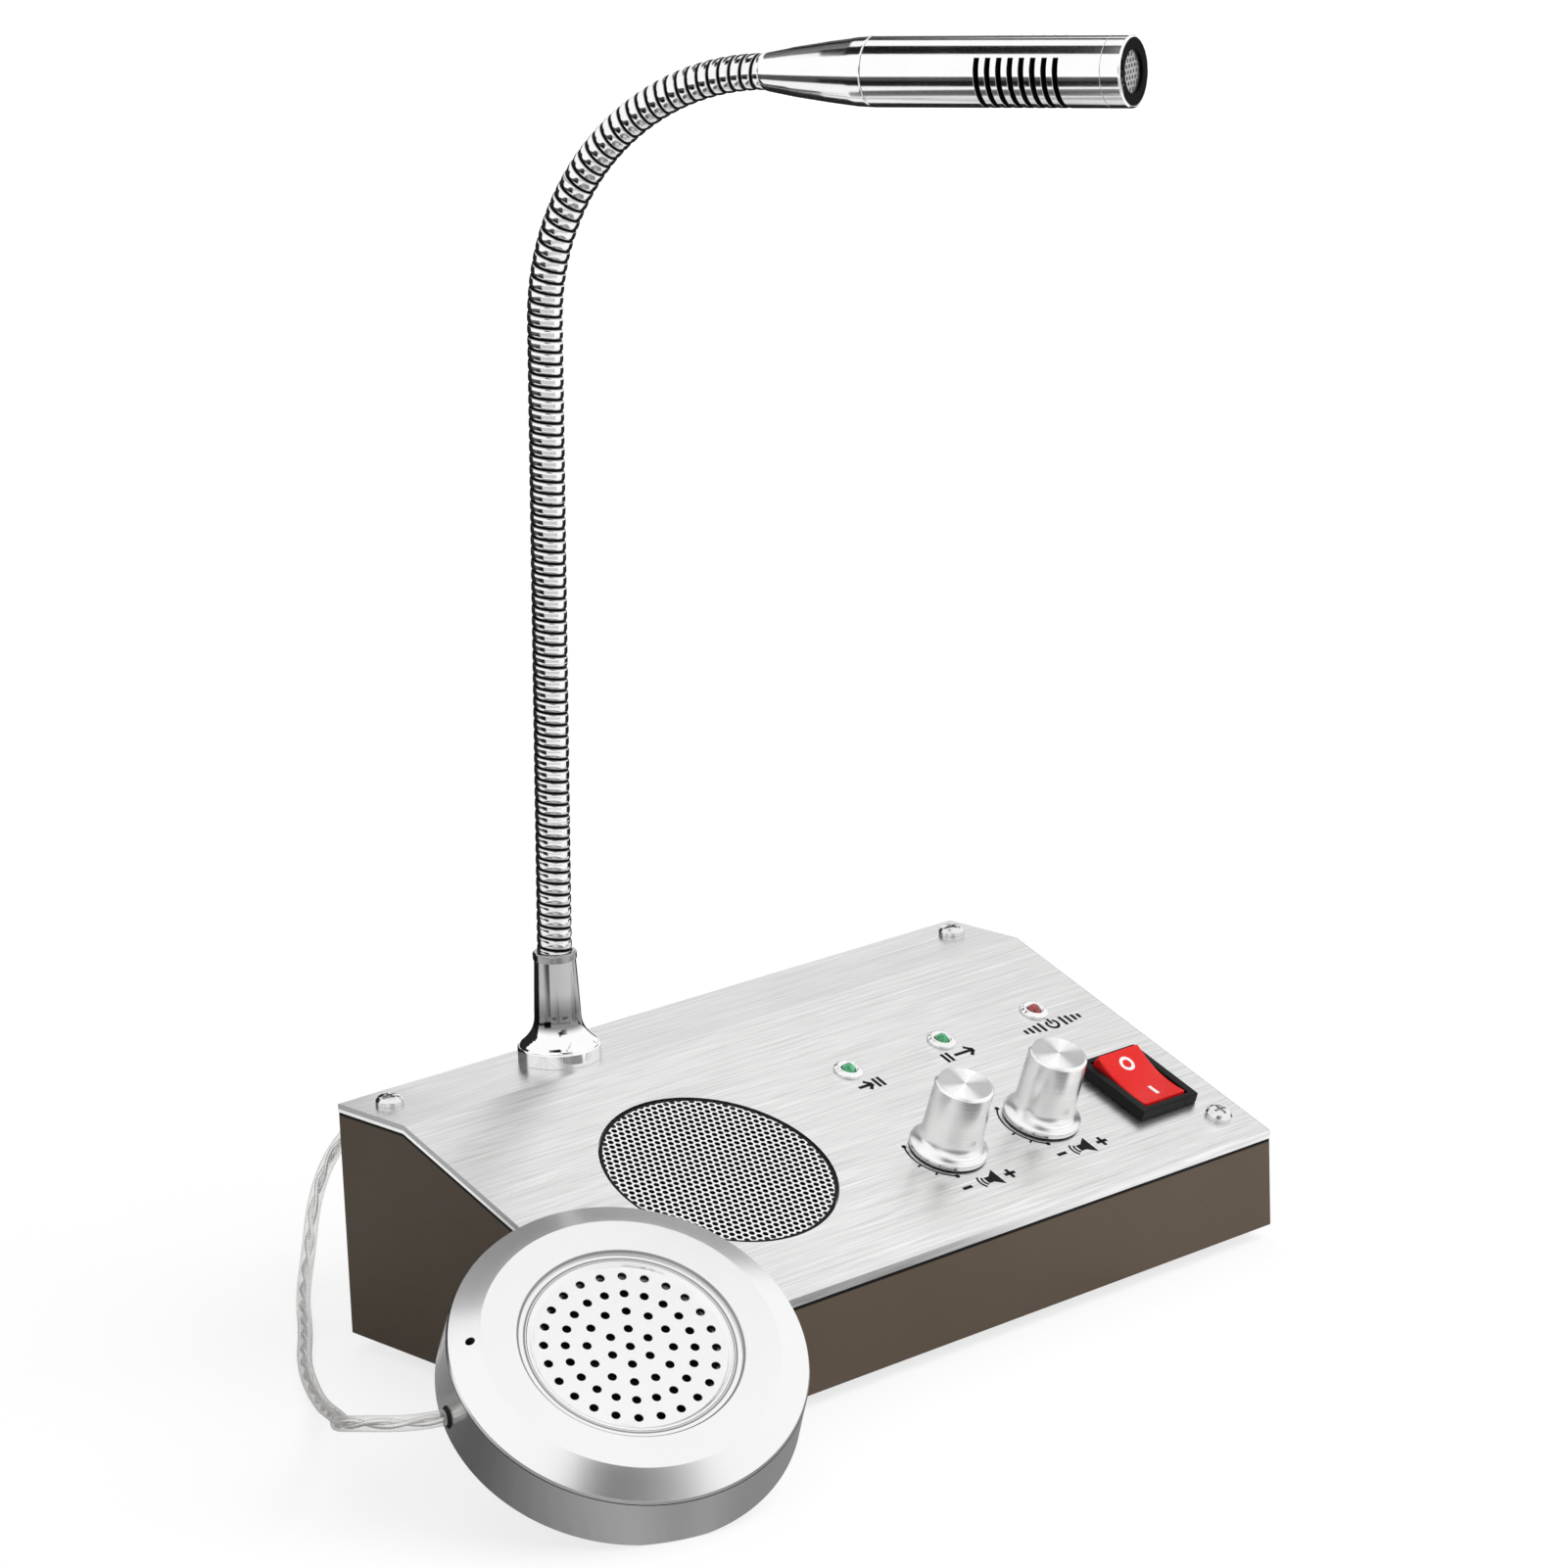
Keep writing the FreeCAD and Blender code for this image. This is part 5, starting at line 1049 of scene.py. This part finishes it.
socketSet = {
    "base": [(0, 0), (9.0, 0), (9.0, 2.9), (8.75, 3.15), (8.55, 3.15)],
    "collar": [(4.5, 22.3), (4.75, 22.4), (4.75, 23.7), (4.45, 24), (3.8, 24), (3.8, 20), (0, 20)],
    "flare": (3.6, 10.5), "waist": 5.05, "spread": 3.35, "power": 2.6,
}


def socketFlare():
    # the base disc, then a flare whose radius falls with a power of the height left, a
    # long slightly tapered stem and a collar
    s = socketSet
    low, high = s["flare"]
    height = np.linspace(low, high, 14)
    radius = s["waist"] + s["spread"] * ((high - height) / (high - low)) ** s["power"]
    return np.concatenate([s["base"], np.stack([radius, height], -1), s["collar"]])


socketPlace = moved(*layout["neckFoot"], layout["rearTop"])
socket = turned("neck_socket_flared", socketFlare(), socketPlace, socketPlate)
seated(socket, "desk_unit", "bright_chrome", "neck_socket")

# the microphone's own axes, Z along it from the neck's tip
tip, micAxis = neckLine(neckLength)
micPlace = np.eye(4)
micPlace[:3] = np.column_stack([sideways, np.cross(micAxis, sideways), micAxis, tip * mm])
tailProfile = [(0, 0.02), (3.75, 0.02), (4.05, 1.0), (5.1, 6.9), (6.2, 14.8), (6.95, 21.2),
               (7.08, 24.55), (0, 24.55)]
tail = turned("mic_tail_cone", tailProfile, micPlace, micSilver, soft=0.5)
seated(tail, "neck_6", "bright_chrome", "mic_tail")
tubeSet = {"radius": 7.1, "wall": 0.9, "start": 24.6, "end": 76.4, "slots": 8, "first": 49.4,
           "pitch": 2.42, "width": 1.1, "turn": 31.0, "span": 120.0, "steps": 96, "edge": 0.1}


def micTube():
    # a straight tube whose rows stand at the slots' edges; the faces inside a slot's length
    # and span are left out
    t = tubeSet
    starts = t["first"] + np.arange(t["slots"]) * t["pitch"]
    edges = np.sort(np.concatenate([starts, starts + t["width"]]))
    rows = np.concatenate([np.linspace(t["start"], edges[0], 6)[:-1], edges,
                           np.linspace(edges[-1], t["end"], 5)[1:]])
    share = np.arange(t["steps"]) / t["steps"]
    angle = math.radians(t["turn"]) + share * 2 * np.pi
    around = circle(angle) * t["radius"]
    ringShape = (len(rows), t["steps"])
    grid = np.concatenate([np.broadcast_to(around, (*ringShape, 2)),
                           np.broadcast_to(rows[:, None, None], (*ringShape, 1))], -1)
    middle = (rows[1:] + rows[:-1]) / 2
    inSlot = np.abs(middle[:, None] - starts - t["width"] / 2) < t["width"] / 2
    turn = (share * 360 + 180 / t["steps"]) % 180
    inSpan = np.minimum(turn, 180 - turn) < t["span"] / 2
    tube = gridPiece("mic_tube_slotted", carried(grid * mm, micPlace), micSilver,
                     keep=~(inSlot.any(1)[:, None] & inSpan))
    # the inside and the slots' own sides are dark
    tube.data.materials.append(finishes["mic_black"])
    wall = tube.modifiers.new("wall", "SOLIDIFY")
    wall.thickness = t["wall"] * mm
    wall.offset = -1
    wall.material_offset = 1
    wall.material_offset_rim = 1
    return bevelled(tube, t["edge"], 40)


seated(micTube(), "neck_6", "bright_chrome", "mic_tube")
print("socket and microphone made")

# greys and whites are strengths of light, and the floor turns white over its fade
stageSet = {"floor": 14.0, "floorGrey": 0.86, "floorWhite": 1.15, "fade": (0.35, 1.3),
            "nearShare": 0.66, "worldLight": 0.40, "worldWhite": 1.08}


def floorPiece():
    # the floor shades diffusely near the object and reads white further out
    f, s = Finish("floor_white"), stageSet
    away = f.add("VectorMath", {"operation": "LENGTH"}, {0: f.place()}, "Value")
    share = away.between(*s["fade"], s["nearShare"], 1.0)
    soft = f.add("BsdfDiffuse", None, {"Color": rgb(s["floorGrey"])})
    white = f.add("Emission", None, {"Color": rgb(1), "Strength": s["floorWhite"]})
    material = f.end(f.add("MixShader", None, {0: f.seen() * share, 1: soft, 2: white}))
    side = s["floor"] / 2
    mesh = bpy.data.meshes.new("floor")
    corners = [(-side, -side, 0), (side, -side, 0), (side, side, 0), (-side, side, 0)]
    mesh.from_pydata(corners, [], [(0, 1, 2, 3)])
    newPiece("floor", mesh, material)


def whiteWorld():
    # dim as a light, white where the camera or a mirror sees it
    f = Finish("world", bpy.data.worlds)
    dim, white = (f.add("Background", None, {"Color": rgb(1), "Strength": stageSet[key]})
                  for key in ("worldLight", "worldWhite"))
    return f.end(f.add("MixShader", None, {0: f.seen(), 1: dim, 2: white}), "OutputWorld")


floorPiece()
bpy.context.scene.world = whiteWorld()

lightSet = {
    "key": {"towards": (0.42, -0.62, 0.66), "away": 1.4, "size": 1.5, "power": 14.6},
    "fill": {"towards": (-0.60, 0.05, 0.80), "away": 1.4, "size": 1.2, "power": 1.2},
    "rear": {"towards": (0.25, 0.60, 0.76), "away": 1.4, "size": 1.2, "power": 3.0},
}
aim = Vector((-0.03, 0.0, 0.08))
for name, lamp in lightSet.items():
    light = bpy.data.lights.new(name, "AREA")
    light.shape = "DISK"
    light.size = lamp["size"]
    light.energy = lamp["power"]
    holder = bpy.data.objects.new(name, light)
    direction = Vector(lamp["towards"]).normalized()
    holder.location = aim + direction * lamp["away"]
    holder.rotation_euler = direction.to_track_quat("Z", "Y").to_euler()
    holder.visible_glossy = False
    bpy.context.scene.collection.objects.link(holder)

# grey and black cards that only reflections see: strips along the microphone, each turned
# about it from the camera's side, its middle a length along it from the neck's tip
stripSet = {
    "overhead": {"turn": 72, "away": 0.20, "middle": 24, "size": (0.14, 0.115), "grey": 0.01},
    "ridge": {"turn": 122, "away": 0.20, "middle": 24, "size": (0.14, 0.04), "grey": 0.01},
    "low": {"turn": -43, "away": 0.40, "middle": -14, "size": (0.25, 0.19), "grey": 0.01},
}
# sectors on the floor round the neck's foot, and a wall behind it, from one turn to another
# about the camera's side
ringSet = {
    "centre": (-0.038, 0.039), "level": (0.0004, 0.0004), "steps": 33,
    "cards": {
        "left_rear": {"reach": (0.12, 1.6), "turn": (-182, -100), "grey": 0.02},
        "left": {"reach": (0.40, 1.6), "turn": (-100, -34), "grey": 0.08},
        "near": {"reach": (0.46, 1.6), "turn": (-34, 62), "grey": 0.66},
        "right_rear": {"reach": (0.12, 1.6), "turn": (108, 178), "grey": 0.02},
        "wall": {"reach": (0.5, 0.5), "turn": (-171, -101), "grey": 0.02, "level": (0.02, 0.36)},
    },
}
# patches that the outside speaker's bevel looks at, their greys evenly spaced
bevelSet = {
    "radius": 0.033, "slope": (0.45, 0.893),
    "cards": {
        "top": {"turn": (26, 154), "away": 1.5, "spread": 0.16,
                "greys": (0.20, 0.10, 0.08, 0.08, 0.12, 0.25)},
        "foot": {"turn": (233, 279), "away": 0.60, "spread": 0.11,
                 "greys": (0.5, 0.02, 0.06, 0.2, 0.4, 0.9)},
    },
}
# the floor beside the outside speaker; each lighter or darker place adds a bell curve of
# its turn, width and height
besideSet = {"centre": (-0.110, -0.070), "reach": (0.001, 0.16), "turn": (-150, 140),
             "grey": 0.27, "places": ((-20, 34, 0.11), (44, 20, 0.07), (-104, 34, -0.17))}


def cardPiece(name, rows, grey):
    # a band between two rows of points; its grey, one number or one for each point of a
    # row, is carried to the shader as an attribute
    f = Finish("card_" + name)
    tone = f.add("Attribute", {"attribute_name": "tone"}, None, "Fac")
    material = f.end(f.add("Emission", None, {"Color": tone, "Strength": 1.0}))
    rows = np.asarray(rows, float)
    mesh = bpy.data.meshes.new("card_" + name)
    mesh.from_pydata(rows.reshape(-1, 3), [], gridQuads(*rows.shape[:2], wrap=False)[2].tolist())
    tones = np.broadcast_to(np.asarray(grey, float), rows.shape[:2]).ravel()
    mesh.attributes.new("tone", "FLOAT", "POINT").data.foreach_set("value", tones)
    piece = newPiece("card_" + name, mesh, material)
    piece.visible_camera = piece.visible_diffuse = piece.visible_shadow = False
    piece.visible_transmission = piece.visible_volume_scatter = False


eye = np.array(cameraSet["place"])
micSight = unit(eye - (tip + micAxis * 40) * mm)
sightAcross = micSight - micAxis * (micSight @ micAxis)
facing = unit(sightAcross)
above = np.cross(facing, micAxis)
# a mirrored line of sight runs this far along the axis for each step away from it
slant = (micSight @ micAxis) / np.linalg.norm(sightAcross)


def stripCard(name, card):
    # the strip's middle stands off the microphone at its turn from the side that faces us
    turn = math.radians(card["turn"])
    towards = facing * math.cos(turn) + above * math.sin(turn)
    middle = ((tip + micAxis * card["middle"]) * mm
              + (towards - micAxis * slant) * card["away"])
    long, wide = micAxis * card["size"][0] / 2, np.cross(micAxis, towards) * card["size"][1] / 2
    cardPiece(name, [[middle - long + side, middle + long + side] for side in (-wide, wide)],
              card["grey"])


ahead = math.atan2(eye[1] - ringSet["centre"][1], eye[0] - ringSet["centre"][0])


def ringCard(name, card, grey):
    # two arcs round the centre, each at its reach and its level, joined
    angle = ahead + np.radians(np.linspace(*card["turn"], ringSet["steps"]))
    ring = np.column_stack([circle(angle), angle * 0])
    centre = card.get("centre", ringSet["centre"])
    levels = card.get("level", ringSet["level"])
    cardPiece(name, [ring * reach + (*centre, level)
                     for reach, level in zip(card["reach"], levels)], grey)


def bevelCard(name, card):
    # where the bevel mirrors the camera's line of sight, with a spread to each side
    place = np.array(inPuck())
    turn = np.radians(np.linspace(*card["turn"], ringSet["steps"]))[:, None]
    outward = np.cos(turn) * place[:3, 0] + np.sin(turn) * place[:3, 1]
    normal = bevelSet["slope"][0] * outward + bevelSet["slope"][1] * place[:3, 2]
    spot = place[:3, 3] + outward * bevelSet["radius"]
    sight = unit(eye - spot)
    mirrored = 2 * (normal * sight).sum(1, keepdims=True) * normal - sight
    middle = spot + mirrored * card["away"]
    aside = unit(np.cross(np.gradient(middle, axis=0), mirrored)) * card["spread"]
    last = len(card["greys"]) - 1
    tones = np.interp(np.linspace(0, last, len(turn)), range(last + 1), card["greys"])
    cardPiece("bevel_" + name, [middle - aside, middle + aside], tones)


for name, card in stripSet.items():
    stripCard(name, card)
for name, card in ringSet["cards"].items():
    ringCard(name, card, card["grey"])
for name, card in bevelSet["cards"].items():
    bevelCard(name, card)
turns = np.linspace(*besideSet["turn"], ringSet["steps"])
ringCard("beside", besideSet,
         besideSet["grey"] + sum(height * np.exp(-((turns - turn) / width) ** 2)
                                 for turn, width, height in besideSet["places"]))
print("stage and lights set")
